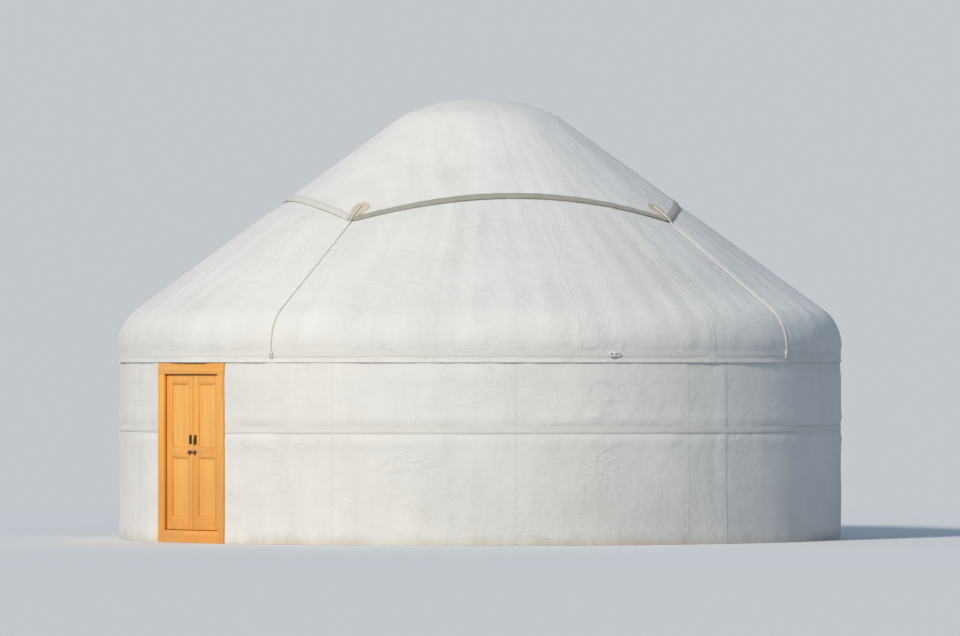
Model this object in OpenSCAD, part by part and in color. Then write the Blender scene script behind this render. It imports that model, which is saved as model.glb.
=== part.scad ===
// A six-section felt yurt: lattice wall, bent roof poles, crown wheel, felt and canvas covers,
// woven bands and a two-leaf wooden door. The door faces -Y and the origin is at ground level
// under the crown. Every length is in millimetres.

/* [Overall] */
// Radius of the finished wall, over the canvas
wall_radius = 3000; // [2600:50:3400]
// Height at which the wall line and the roof line would cross
corner_height = 1790; // [1780:10:1850]
// Slope of the roof above the horizontal, in degrees
roof_pitch = 36; // [34:1:38]
// Rounding of the covers over the shoulder
shoulder_bend = 350; // [320:10:380]

/* [Covers] */
// Thickness of the outer canvas
canvas_t = 3; // [2:0.5:4]
// Thickness of one felt
felt_t = 10; // [8:1:12]
// Thickness of the quilted crown cover
crown_cover_t = 12; // [8:1:14]
// Fitting gap between pieces that lie on each other
fit_gap = 0.3; // [0.2:0.1:0.5]
// Top of the wall canvas
wall_canvas_top = 1590; // [1560:5:1595]
// Top of the wall felt
wall_felt_top = 1598; // [1580:1:1600]
// Lower edge of the roof covers
skirt_bottom = 1465; // [1463:1:1480]
// Radius at which the roof covers end, around the crown
roof_opening_r = 830; // [825:5:880]
// Reach of the crown cover's corners, measured in plan
corner_reach = 1880; // [1850:10:2050]
// Reach of the middle of the crown cover's sides, in plan
side_reach = 1620; // [1500:10:1640]
// Turn of the crown cover's first corner, from the door
corner_turn = 18; // [10:1:35]
// How much of each corner of the crown cover is cut blunt
corner_blunt = 12; // [8:1:20]

/* [Lattice wall] */
// Number of wall sections
sections = 6; // [6:1:6]
// Lattice cells along one section
cells = 10; // [9:1:11]
// Half-cell rows from the lowest to the highest crossing
rows = 9; // [9:2:9]
// Width of a lattice rod
rod_w = 28; // [22:1:32]
// Thickness of a lattice rod
rod_t = 14; // [10:1:16]
// Height of the lowest row of crossings
foot_row = 50; // [40:5:70]
// Height of the highest row of crossings, the heads
head_row = 1470; // [1440:5:1480]
// Length that the rods' tips stand above the heads
fork_rise = 80; // [60:5:90]
// Depth to which crossing rods are let into each other
rod_seat = 1; // [0.6:0.2:2]

/* [Roof poles] */
// Diameter of a roof pole
pole_d = 34; // [30:1:38]
// Length over which a pole thins toward its tip
tip_taper = 260; // [200:10:320]
// Side of a pole's square tip
tip_side = 23; // [18:1:23]
// Height of a pole's foot, inside the lattice
pole_foot = 1330; // [1280:10:1380]
// Radius of a pole's bend above its foot
pole_bend = 400; // [360:10:440]
// How much the foot and bend of a pole or rope stand out around its straight shaft
bend_swell = 0.5; // [0.4:0.1:0.8]
// Length of shaft that is let into the end of a bend
bend_lap = 3; // [2:0.5:4]
// Depth of the sockets where the door's poles stand in the lintel
foot_socket = 15; // [10:1:25]
// Poles that stand in the door's lintel
door_poles = 3; // [3:2:3]

/* [Crown wheel] */
// Outer radius of the crown ring
ring_r = 700; // [660:10:720]
// Width of the crown ring, along the slope
ring_w = 85; // [80:1:90]
// Thickness of the crown ring, across the slope
ring_h = 88; // [80:2:96]
// Chamfer along the crown ring's edges
ring_chamfer = 8; // [4:1:10]
// Gap between the crown ring and the cover over it
ring_gap = 6; // [5:0.5:7]
// Depth to which a pole's tip passes into the ring
tip_depth = 40; // [30:1:42]
// Rise of the crown cover's dome over the ring's inner edge
crown_rise = 145; // [125:1:155]
// Rounding of the crown cover over the ring
rim_bend = 300; // [150:10:340]
// Thickness of a crown bar, both ways
bar_side = 22; // [18:1:24]
// Depth of the notches where the upper bars sit on the lower ones
bar_notch = 4; // [3:0.5:6]
// Depth to which a crown bar passes into the ring
bar_tenon = 14; // [10:1:18]
// Depth of the upper bars' ends in the ring, under the roof line
bar_seat = 34; // [32:1:38]
// Spacing of the crown bars
bar_spacing = 120; // [100:10:150]

/* [Door] */
// Width of the door frame
frame_w = 900; // [880:10:960]
// Height of the door frame
frame_h = 1460; // [1440:5:1460]
// Depth of the door frame
frame_d = 100; // [96:2:110]
// How far the frame's front face lies inside the wall radius
frame_inset = 15; // [12:1:20]
// Width of a jamb
jamb_w = 70; // [60:5:80]
// Height of the lintel
lintel_h = 90; // [80:5:100]
// Height of the threshold
threshold_h = 100; // [80:5:120]
// Depth of the stop that the leaves close against
stop_d = 22; // [18:1:26]
// How far the stop stands into the opening
stop_w = 15; // [12:1:20]
// Thickness of a leaf
leaf_t = 36; // [32:1:38]
// Running gap around a leaf
leaf_gap = 5; // [5:0.5:7]
// Width of a leaf's stiles
stile_w = 62; // [54:2:70]
// Height of a leaf's top rail
top_rail = 70; // [60:5:80]
// Height of a leaf's middle rail
mid_rail = 80; // [70:5:90]
// Height of a leaf's bottom rail
bottom_rail = 110; // [100:5:130]
// Height of the middle rail's centre
mid_rail_z = 735; // [700:5:780]
// Thickness of a panel at its edge
panel_edge = 10; // [8:1:12]
// Thickness of a panel at its raised field
panel_t = 22; // [18:1:24]
// Width of the bevel around a raised field
panel_bevel = 34; // [25:1:40]
// Depth of the groove that holds a panel
groove = 10; // [8:1:14]
// Radius of the pivot pins
pivot_r = 11; // [9:0.5:12]
// Length of a pivot pin in its socket
pivot_l = 22; // [18:1:26]
// Radius of a door knob
knob_r = 17; // [14:1:20]

/* [Bands and ties] */
// Width of the woven bands
band_w = 50; // [40:5:60]
// Thickness of the woven bands
band_t = 4; // [3:0.5:5]
// Height of the upper band's middle
upper_band_z = 1530; // [1520:5:1560]
// Height of the lower band's middle
lower_band_z = 920; // [850:10:1000]
// Radius of the crown cover's tie ropes
tie_r = 6; // [5:0.5:8]

/* [Hidden] */
// Facets for curves as large as the wall, and for small round parts
wall_fn = 256;
small_fn = 32;
// Steps of an arc drawn as points
arc_steps = 12;

wall_parts = 4;

// Depths of the layers below the roof canvas's outer face, from the outside in
depth_roof_canvas = 0;
depth_wall_canvas = depth_roof_canvas + canvas_t + fit_gap;
depth_roof_felt = depth_wall_canvas + canvas_t + fit_gap;
depth_wall_felt = depth_roof_felt + felt_t + fit_gap;
depth_lattice = depth_wall_felt + felt_t + fit_gap;

// The lattice's two layers of rods, on each side of a middle radius
lattice_out = wall_radius - depth_lattice;
lattice_mid = lattice_out - rod_t;
lattice_in = lattice_mid - rod_t;

// The poles: a foot line inside the lattice, and a roof line under the roof felt
pole_r = pole_d / 2;
pole_line_r = lattice_in - fit_gap - pole_r - bend_swell;
depth_pole = depth_roof_felt + felt_t + fit_gap + pole_r + bend_swell;

// Door frame
frame_half = frame_w / 2;
frame_front = -(wall_radius - frame_inset);
frame_back = frame_front + frame_d;
opening_half = frame_half - jamb_w;
opening_top = frame_h - lintel_h;
cover_cut = frame_half + fit_gap;
leaf_y = frame_front + stop_d + leaf_gap + leaf_t / 2;
hinge_x = opening_half - leaf_gap - leaf_t / 2;

// Angles: the lattice starts beside the door frame
door_angle = asin(cover_cut / lattice_in);
section_angle = (360 - 2 * door_angle) / sections;
cell_angle = section_angle / cells;

// Height on the roof line at a radius, at a depth under the canvas's outer face
function roof_z(r, depth) =
    corner_height + (wall_radius - r) * tan(roof_pitch) - depth / cos(roof_pitch);

// The shoulder arc's centre, on the wall side at the height where the wall starts to bend
turn = 90 - roof_pitch;
shoulder_r = wall_radius - shoulder_bend;
shoulder_z = corner_height - shoulder_bend * tan(turn / 2);

// A cover's outline in the radial plane, from its lower edge to its upper end
function meridian(depth, z_low, r_high) = concat(
    [[wall_radius - depth, z_low]],
    [for (i = [0:arc_steps]) let (a = turn * i / arc_steps)
        [shoulder_r + (shoulder_bend - depth) * cos(a),
         shoulder_z + (shoulder_bend - depth) * sin(a)]],
    [[r_high, roof_z(r_high, depth)]]
);

// A place in the crown ring: along the slope from its outer face, and under the roof line
function ring_place(along, depth) = [
    ring_r - along * cos(roof_pitch) - depth * sin(roof_pitch),
    roof_z(ring_r, 0) + along * sin(roof_pitch) - depth * cos(roof_pitch)
];

// The crown dome rises from the ring's inner edge as an arc, rounded into the roof line.
// The rounding's centre lies at its own radius under both the roof line and the arc.
dome_edge = ring_place(ring_w, -fit_gap);
cover_under_z = dome_edge[1] + crown_rise;
dome_r = (pow(dome_edge[0], 2) + pow(crown_rise, 2)) / (2 * crown_rise);
dome_z = cover_under_z - dome_r;
function rim_z(r) = roof_z(r, rim_bend - fit_gap);
rim_slope = tan(roof_pitch);
rim_rest = rim_z(0) - dome_z;
rim_root = pow(rim_slope * rim_rest, 2)
    - (1 + pow(rim_slope, 2)) * (pow(rim_rest, 2) - pow(dome_r - rim_bend, 2));
rim_r = (rim_slope * rim_rest - sqrt(rim_root)) / (1 + pow(rim_slope, 2));
rim_pitch = asin(rim_r / (dome_r - rim_bend));
function dome_line(lift, r_low) = concat(
    [[r_low, roof_z(r_low, -fit_gap - lift)]],
    [for (i = [0:arc_steps]) let (a = turn + (roof_pitch - rim_pitch) * i / arc_steps)
        [rim_r + (rim_bend + lift) * cos(a), rim_z(rim_r) + (rim_bend + lift) * sin(a)]],
    [for (i = [1:arc_steps]) let (a = 90 - rim_pitch * (arc_steps - i) / arc_steps)
        [(dome_r + lift) * (i == arc_steps ? 0 : cos(a)), dome_z + (dome_r + lift) * sin(a)]]
);

// The crown bars: arcs that rise from the ring to just under the crown cover
bar_end = ring_place(ring_w, bar_seat);
bar_rise = cover_under_z - fit_gap - bar_side / 2 - bar_end[1];
bar_r = (pow(bar_end[0], 2) + pow(bar_rise, 2)) / (2 * bar_rise);
bar_z = bar_end[1] + bar_rise - bar_r;

// The turn that leaves the fitting gap between neighbours at the wall
gap_turn = fit_gap / wall_radius * 180 / PI;

function reversed(list) = [for (i = [len(list) - 1:-1:0]) list[i]];

// Turns its children from the +X radial plane to an angle counted from the door, seen from above
module at(angle) rotate([0, 0, 270 + angle]) children();

// A ring piece swept from one angle to another, with its section in the radial plane
module sweep(from, to)
    at(from) rotate_extrude(angle = to - from, $fn = wall_fn) children();

// Keeps what is outside the door frame
module beside_door() difference() {
    children();
    translate([-cover_cut, frame_front - wall_radius, -1])
        cube([2 * cover_cut, wall_radius + frame_d + 100, corner_height]);
}

module cover_piece(depth, thickness, z_low, r_high, from, to)
    sweep(from, to) polygon(concat(
        meridian(depth, z_low, r_high),
        reversed(meridian(depth + thickness, z_low, r_high))
    ));

module wall_piece(depth, thickness, top, i) {
    span = (360 - door_angle) / wall_parts;
    start = door_angle / 2 + span * (i - 1);
    beside_door() sweep(start, start + span - gap_turn)
        translate([wall_radius - depth - thickness, 0]) square([thickness, top]);
}

module wall_felt(i) color("gainsboro") wall_piece(depth_wall_felt, felt_t, wall_felt_top, i);

module wall_canvas(i) color("white") wall_piece(depth_wall_canvas, canvas_t, wall_canvas_top, i);

module roof_felt(from) color("gainsboro")
    cover_piece(depth_roof_felt, felt_t, skirt_bottom, roof_opening_r, from, from + 180 - gap_turn);

module roof_canvas(from) color("white")
    cover_piece(depth_roof_canvas, canvas_t, skirt_bottom, roof_opening_r, from, from + 180 - gap_turn);

// A square cover with bowed sides, shaped over the dome and the roof
module crown_cover() {
    half = corner_reach / sqrt(2);
    bow_centre = (pow(side_reach, 2) - 2 * pow(half, 2)) / (2 * (side_reach - half));
    color("white") at(corner_turn + 45) intersection() {
        rotate_extrude($fn = wall_fn) polygon(concat(
            dome_line(crown_cover_t, corner_reach + 100),
            reversed(dome_line(0, corner_reach + 100))
        ));
        cylinder(r = corner_reach - corner_blunt, h = cover_under_z + 2 * crown_cover_t, $fn = wall_fn);
        intersection_for (side = [0:3]) rotate([0, 0, 90 * side]) translate([bow_centre, 0, 0])
            cylinder(r = side_reach - bow_centre, h = cover_under_z + 2 * crown_cover_t, $fn = wall_fn);
    }
}

// A lattice rod through two grid places, each given as cells along and half-cells up
module rod(start, low, high, r_in, leaning) {
    row_h = (head_row - foot_row) / rows;
    slab = wall_radius / 4;
    mid = (low + high) / 2;
    half_turn = (high[0] - low[0]) / 2 * cell_angle;
    rise = (high[1] - low[1]) / 2 * row_h;
    tilt = atan(rise / (lattice_mid * sin(abs(half_turn)))) * leaning;
    half_l = rise / sin(abs(tilt));
    above = high[1] == rows ? fork_rise / sin(abs(tilt)) : 2 * rod_w;
    below = foot_row / sin(abs(tilt)) + 2 * rod_w;
    at(start + mid[0] * cell_angle) translate([r_in, 0, foot_row + mid[1] * row_h])
        rotate([tilt, 0, 0])
            translate([-slab / 2, -half_l - (leaning > 0 ? below : above), -rod_w / 2])
                cube([slab, 2 * half_l + below + above, rod_w]);
}

// The thin shell that a layer of rods is cut from
module rod_layer(start, r_in, thickness)
    sweep(start, start + section_angle - gap_turn)
        translate([r_in, 0]) square([thickness, head_row + 2 * fork_rise]);

// All the rods of one layer: from the feet, and from the side that they lean away from
module layer_rods(start, r_in, leaning) {
    for (foot = [0:cells - 1]) {
        high_row = min(rows, 2 * (cells - foot));
        side_x = leaning > 0 ? 0 : cells;
        rod(start, [side_x + leaning * foot, 0], [side_x + leaning * (foot + high_row / 2), high_row],
            r_in, leaning);
    }
    for (row = [2:2:rows - 1]) {
        side_x = leaning > 0 ? 0 : cells;
        rod(start, [side_x, row], [side_x + leaning * (rows - row) / 2, rows], r_in, leaning);
    }
}

module lattice(i) {
    start = door_angle + section_angle * (i - 1);
    color("peru") {
        intersection() {
            rod_layer(start, lattice_mid - rod_seat / 2, rod_t + rod_seat / 2);
            layer_rods(start, lattice_mid, 1);
        }
        intersection() {
            rod_layer(start, lattice_in, rod_t + rod_seat / 2);
            layer_rods(start, lattice_mid, -1);
        }
    }
}

// A round rod in the +X radial plane that stands upright, bends inward and runs up the roof.
// The children are drawn at the upper end of the shaft, along it.
module bent_rod(line_r, bend_z, bend_r, rod_r, leg, shaft) translate([line_r - bend_r, 0, bend_z]) {
    translate([bend_r, 0, -leg]) cylinder(r = rod_r + bend_swell, h = leg, $fn = small_fn);
    rotate([90, 0, 0]) rotate_extrude(angle = turn, $fn = wall_fn)
        translate([bend_r, 0]) circle(r = rod_r + bend_swell, $fn = small_fn);
    rotate([0, -turn, 0]) translate([bend_r, 0, 0]) {
        translate([0, 0, -bend_lap]) cylinder(r = rod_r, h = shaft + bend_lap, $fn = small_fn);
        translate([0, 0, shaft]) children();
    }
}

// A roof pole: an upright foot, a bend, a straight shaft and a square tip
module pole(foot_z) {
    bend_z = roof_z(pole_line_r, depth_pole) - pole_bend * tan(turn / 2);
    top = ring_place(-fit_gap, depth_pole);
    bend_end = [pole_line_r - pole_bend * (1 - cos(turn)), bend_z + pole_bend * sin(turn)];
    bent_rod(pole_line_r, bend_z, pole_bend, pole_r, bend_z - foot_z, norm(top - bend_end) - tip_taper) {
        cylinder(r1 = pole_r, r2 = tip_side / 2, h = tip_taper, $fn = small_fn);
        translate([-tip_side / 2, -tip_side / 2, tip_taper - tip_side])
            cube([tip_side, tip_side, tip_side + fit_gap + tip_depth]);
    }
}

function section_pole_angle(i, j) = door_angle + section_angle * (i - 1) + cell_angle * (j - 0.5);
door_pole_step = 2 * (door_angle + cell_angle / 2) / (door_poles + 1);
function door_pole_angle(j) = door_pole_step * (j - (door_poles + 1) / 2);

module roof_poles(i) color("firebrick")
    for (j = [1:cells]) at(section_pole_angle(i, j)) pole(pole_foot);

module roof_poles_door() color("firebrick")
    for (j = [1:door_poles]) at(door_pole_angle(j)) pole(frame_h - foot_socket + fit_gap);

// A mortise for a pole's tip, cut square with the slope
module mortise() {
    foot = ring_place(-pole_r, depth_pole);
    side = tip_side + 2 * fit_gap;
    translate([foot[0], 0, foot[1]]) rotate([0, -turn, 0])
        translate([-side / 2, -side / 2, 0]) cube([side, side, pole_r + tip_depth + fit_gap]);
}

// One arched bar over the crown, along X, at a distance to one side of the axis
module crown_bar(offset_y, side, reach) intersection() {
    plane_r = sqrt(pow(bar_r, 2) - pow(offset_y, 2));
    spread = asin((ring_r + side) / bar_r);
    translate([0, offset_y, bar_z]) rotate([90, 0, 0]) rotate([0, 0, 90 - spread])
        rotate_extrude(angle = 2 * spread, $fn = wall_fn)
            translate([plane_r - side / 2, -side / 2]) square(side);
    cylinder(r = reach, h = cover_under_z, $fn = wall_fn);
}

module bar_set(side, reach) for (k = [-1:1]) crown_bar(k * bar_spacing, side, reach);

// The lower bars run across the upper ones, let into their notches
module lower_bars(side, reach)
    translate([0, 0, bar_notch - bar_side]) rotate([0, 0, 90]) bar_set(side, reach);

bar_reach = bar_end[0] + bar_tenon;
bar_fit = bar_side + 2 * fit_gap;

module crown_bars_upper() color("firebrick") difference() {
    bar_set(bar_side, bar_reach);
    lower_bars(bar_fit, bar_reach);
}

module crown_bars_lower() color("firebrick") lower_bars(bar_side, bar_reach);

module crown_ring() color("firebrick") difference() {
    rotate_extrude($fn = wall_fn) polygon([
        ring_place(ring_chamfer, ring_gap),
        ring_place(ring_w - ring_chamfer, ring_gap),
        ring_place(ring_w, ring_gap + ring_chamfer),
        ring_place(ring_w, ring_gap + ring_h - ring_chamfer),
        ring_place(ring_w - ring_chamfer, ring_gap + ring_h),
        ring_place(ring_chamfer, ring_gap + ring_h),
        ring_place(0, ring_gap + ring_h - ring_chamfer),
        ring_place(0, ring_gap + ring_chamfer)
    ]);
    for (i = [1:sections], j = [1:cells]) at(section_pole_angle(i, j)) mortise();
    for (j = [1:door_poles]) at(door_pole_angle(j)) mortise();
    bar_set(bar_fit, bar_reach + fit_gap);
    lower_bars(bar_fit, bar_reach + fit_gap);
}

// The door frame, with a stop along the front of its opening
module door_jamb(side) color("orange") mirror([side < 0 ? 1 : 0, 0, 0]) {
    translate([opening_half, frame_front, 0]) cube([jamb_w, frame_d, opening_top]);
    translate([opening_half - stop_w, frame_front, threshold_h])
        cube([stop_w + 1, stop_d, opening_top - threshold_h]);
}

module pivot_sockets(z_low, z_high)
    for (side = [-1, 1]) translate([side * hinge_x, leaf_y, z_low])
        cylinder(r = pivot_r + fit_gap, h = z_high - z_low, $fn = small_fn);

module door_lintel() color("orange") difference() {
    translate([-frame_half, frame_front, opening_top]) cube([frame_w, frame_d, lintel_h]);
    pivot_sockets(opening_top - 1, opening_top + pivot_l + fit_gap);
    for (j = [1:door_poles]) at(door_pole_angle(j)) translate([pole_line_r, 0, frame_h - foot_socket])
        cylinder(r = pole_r + bend_swell + fit_gap, h = foot_socket + 1, $fn = small_fn);
}

module door_threshold() color("orange") difference() {
    translate([-opening_half, frame_front, 0]) cube([2 * opening_half, frame_d, threshold_h]);
    pivot_sockets(threshold_h - pivot_l - fit_gap, threshold_h + 1);
}

leaf_bottom = threshold_h + leaf_gap;
leaf_top = opening_top - leaf_gap;
leaf_w = hinge_x - leaf_gap / 2;
inner_w = leaf_w - 2 * stile_w;
panel_spans = [
    [leaf_bottom + bottom_rail, mid_rail_z - mid_rail / 2],
    [mid_rail_z + mid_rail / 2, leaf_top - top_rail]
];

// A leaf drawn from its pivot toward the middle of the door, and mirrored for the left side
module leaf_place(side) translate([side * hinge_x, leaf_y, 0]) mirror([side > 0 ? 1 : 0, 0, 0])
    children();

module panel_space(span, grow, thickness)
    translate([stile_w - grow, -thickness / 2, span[0] - grow])
        cube([inner_w + 2 * grow, thickness, span[1] - span[0] + 2 * grow]);

module door_leaf(side) color("sandybrown") leaf_place(side) {
    difference() {
        union() {
            translate([0, -leaf_t / 2, leaf_bottom]) cube([leaf_w, leaf_t, leaf_top - leaf_bottom]);
            translate([0, 0, leaf_bottom])
                cylinder(r = leaf_t / 2, h = leaf_top - leaf_bottom, $fn = small_fn);
        }
        for (span = panel_spans) {
            panel_space(span, 0, 2 * leaf_t);
            panel_space(span, groove, panel_edge + 2 * fit_gap);
        }
    }
    translate([0, 0, leaf_bottom - leaf_gap - pivot_l])
        cylinder(r = pivot_r, h = pivot_l + leaf_gap + 1, $fn = small_fn);
    translate([0, 0, leaf_top - 1])
        cylinder(r = pivot_r, h = pivot_l + leaf_gap + 1, $fn = small_fn);
}

// A panel with a raised field on both faces, held in the grooves of its leaf
module raised_panel(span) {
    panel_space(span, groove - fit_gap, panel_edge);
    hull() {
        panel_space(span, -fit_gap, panel_edge);
        panel_space(span, -panel_bevel, panel_t);
    }
}

module door_panels(side) color("gold") leaf_place(side)
    for (span = panel_spans) raised_panel(span);

// A turned knob with its rose, on the meeting stile at the middle rail
module door_knob(side) color("saddlebrown") leaf_place(side)
    translate([leaf_w - stile_w / 2, -leaf_t / 2, mid_rail_z]) rotate([90, 0, 0])
        rotate_extrude($fn = small_fn) polygon(concat(
            [[0, 0], [knob_r, 0], [knob_r, 3], [knob_r / 3, 6], [knob_r / 3, 12]],
            [for (i = [1:5]) let (a = -60 + 30 * i)
                [knob_r * 0.8 * (i == 5 ? 0 : cos(a)), 12 + knob_r * 0.6 + knob_r * 0.6 * sin(a)]]
        ));

module band(z) difference() {
    rotate_extrude($fn = wall_fn)
        translate([wall_radius + fit_gap, z - band_w / 2]) square([band_t, band_w]);
    children();
}

module upper_band() color("tan") band(upper_band_z);

module lower_band() color("tan") band(lower_band_z)
    translate([-cover_cut, -2 * wall_radius, 0]) cube([2 * cover_cut, 2 * wall_radius, corner_height]);

// Ropes that hold the crown cover's corners down, over the shoulder to the upper band
module crown_ties() color("tan") for (k = [0:3]) at(corner_turn + 90 * k) {
    lift = fit_gap + tie_r + bend_swell;
    line_r = wall_radius + lift;
    bend_r = shoulder_bend + lift;
    slope_foot = [shoulder_r + bend_r * cos(turn), shoulder_z + bend_r * sin(turn)];
    slope_top = [corner_reach, roof_z(corner_reach, -lift)];
    band_top = upper_band_z + band_w / 2 + fit_gap;
    bent_rod(line_r, shoulder_z, bend_r, tie_r, shoulder_z - band_top, norm(slope_top - slope_foot));
}

door_threshold();
door_jamb(-1);  // door_jamb_left
door_jamb(1);  // door_jamb_right
door_lintel();
door_leaf(-1);  // door_leaf_left
door_leaf(1);  // door_leaf_right
door_panels(-1);  // door_panels_left
door_panels(1);  // door_panels_right
door_knob(-1);  // door_knob_left
door_knob(1);  // door_knob_right
for (i = [1:sections]) lattice(i);
for (i = [1:sections]) roof_poles(i);
roof_poles_door();
crown_ring();
crown_bars_lower();
crown_bars_upper();
for (i = [1:wall_parts]) wall_felt(i);
roof_felt(-90);  // roof_felt_front
roof_felt(90);  // roof_felt_back
for (i = [1:wall_parts]) wall_canvas(i);
roof_canvas(-90);  // roof_canvas_front
roof_canvas(90);  // roof_canvas_back
crown_cover();
upper_band();
lower_band();
crown_ties();
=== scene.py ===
# %% [markdown]
# # Dressing a felt yurt
# The carpenter's work is already done: the lattice wall, the bent roof poles, the crown wheel and
# the door arrive as a fixed frame, with plain solids where the cloth goes. This lesson puts the
# cloth, the bands, the ropes and the finishes on that frame, one piece at a time.

import math
from bisect import bisect

import bmesh
import bpy
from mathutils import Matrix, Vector, noise


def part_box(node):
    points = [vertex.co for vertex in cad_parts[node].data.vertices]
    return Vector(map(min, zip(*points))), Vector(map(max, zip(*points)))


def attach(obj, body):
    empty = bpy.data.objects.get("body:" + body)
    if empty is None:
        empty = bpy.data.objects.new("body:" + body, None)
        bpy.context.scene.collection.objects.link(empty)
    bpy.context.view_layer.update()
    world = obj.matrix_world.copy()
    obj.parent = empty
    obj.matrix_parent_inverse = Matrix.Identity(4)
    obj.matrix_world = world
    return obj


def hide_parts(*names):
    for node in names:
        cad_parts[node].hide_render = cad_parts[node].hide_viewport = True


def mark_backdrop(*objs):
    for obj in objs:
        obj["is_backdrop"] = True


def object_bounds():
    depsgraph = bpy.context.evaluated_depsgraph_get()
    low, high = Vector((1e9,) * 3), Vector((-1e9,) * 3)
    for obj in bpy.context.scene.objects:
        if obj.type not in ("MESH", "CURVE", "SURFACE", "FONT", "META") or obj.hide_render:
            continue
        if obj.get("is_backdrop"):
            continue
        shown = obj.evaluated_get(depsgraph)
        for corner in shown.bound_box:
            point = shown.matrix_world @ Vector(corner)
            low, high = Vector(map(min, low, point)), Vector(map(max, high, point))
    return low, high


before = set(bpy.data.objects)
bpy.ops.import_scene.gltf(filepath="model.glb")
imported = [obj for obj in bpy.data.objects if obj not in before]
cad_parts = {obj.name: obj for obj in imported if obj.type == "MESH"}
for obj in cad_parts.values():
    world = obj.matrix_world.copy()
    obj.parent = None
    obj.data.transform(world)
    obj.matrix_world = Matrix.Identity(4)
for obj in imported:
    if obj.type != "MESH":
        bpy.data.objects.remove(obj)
cad_low, cad_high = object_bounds()
print("frame:", len(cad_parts), "nodes,", [round(v, 3) for v in cad_high])

# %% [markdown]
# ## The sizes that the cloth follows
# Every cover lies on one outline: upright at the wall, bent over the shoulder, straight up the
# roof. The wall's radius and the covers' edges are measured on the frame. The roof's slope and the
# height where wall and roof would cross are the two values that a yurt maker sets first.

# %% Measure the wall and the roof
WALL_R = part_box("roof_canvas_front")[1].x
SKIRT_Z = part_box("roof_canvas_front")[0].z
UPPER_BAND, LOWER_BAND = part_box("upper_band"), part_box("lower_band")
UPPER_BAND_Z = (UPPER_BAND[0].z + UPPER_BAND[1].z) / 2
LOWER_BAND_Z = (LOWER_BAND[0].z + LOWER_BAND[1].z) / 2
BAND_HALF = (UPPER_BAND[1].z - UPPER_BAND[0].z) / 2
PITCH = math.radians(36)
CORNER_Z = 1.79
SHOULDER_BEND = 0.35
TURN = math.pi / 2 - PITCH
SHOULDER_R = WALL_R - SHOULDER_BEND
SHOULDER_Z = CORNER_Z - SHOULDER_BEND * math.tan(TURN / 2)
CORNER_TURN = math.radians(18)
# The side of the crown cover whose tape is painted lit, as if the sun falls on it
SUNNY_SIDE = CORNER_TURN - math.radians(45)
print(f"wall radius {WALL_R:.3f} m, shoulder from {SHOULDER_Z:.3f} m")


def roof_z(r, depth=0.0):
    """Height of the roof line at a radius, at a depth under the outer canvas."""
    return CORNER_Z + (WALL_R - r) * math.tan(PITCH) - depth / math.cos(PITCH)


# %% [markdown]
# ## Shader maths as plain sums
# A procedural finish is arithmetic on patterns. In the node editor each sum is a Math node, so
# here one small class wraps a socket and lets Python's own signs add those nodes. Everything that
# isn't a sum comes from one method that takes a node's type, settings and inputs.

# %% A socket that can be added and multiplied
class Wire:
    """An output socket. Each sum or product on it adds a Math node."""

    def __init__(self, finish, socket):
        self.finish, self.socket = finish, socket

    def maths(self, operation, *terms):
        return self.finish.node("Math", {"operation": operation}, dict(enumerate((self, *terms))))

    def __add__(self, other):
        return self.maths("ADD", other)

    def __sub__(self, other):
        return self.maths("SUBTRACT", other)

    def __rsub__(self, other):
        return (self * -1) + other

    def __mul__(self, other):
        return self.maths("MULTIPLY", other)

    def clamped(self, low, high):
        """0 below low, 1 above high and even between."""
        return self.finish.node("MapRange", {"clamp": True}, {0: self, 1: low, 2: high})

    def part(self, name):
        """One number of a place, by the name X, Y or Z."""
        split = self.finish.node("SeparateXYZ", {}, {0: self})
        return Wire(self.finish, split.socket.node.outputs[name])


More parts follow.
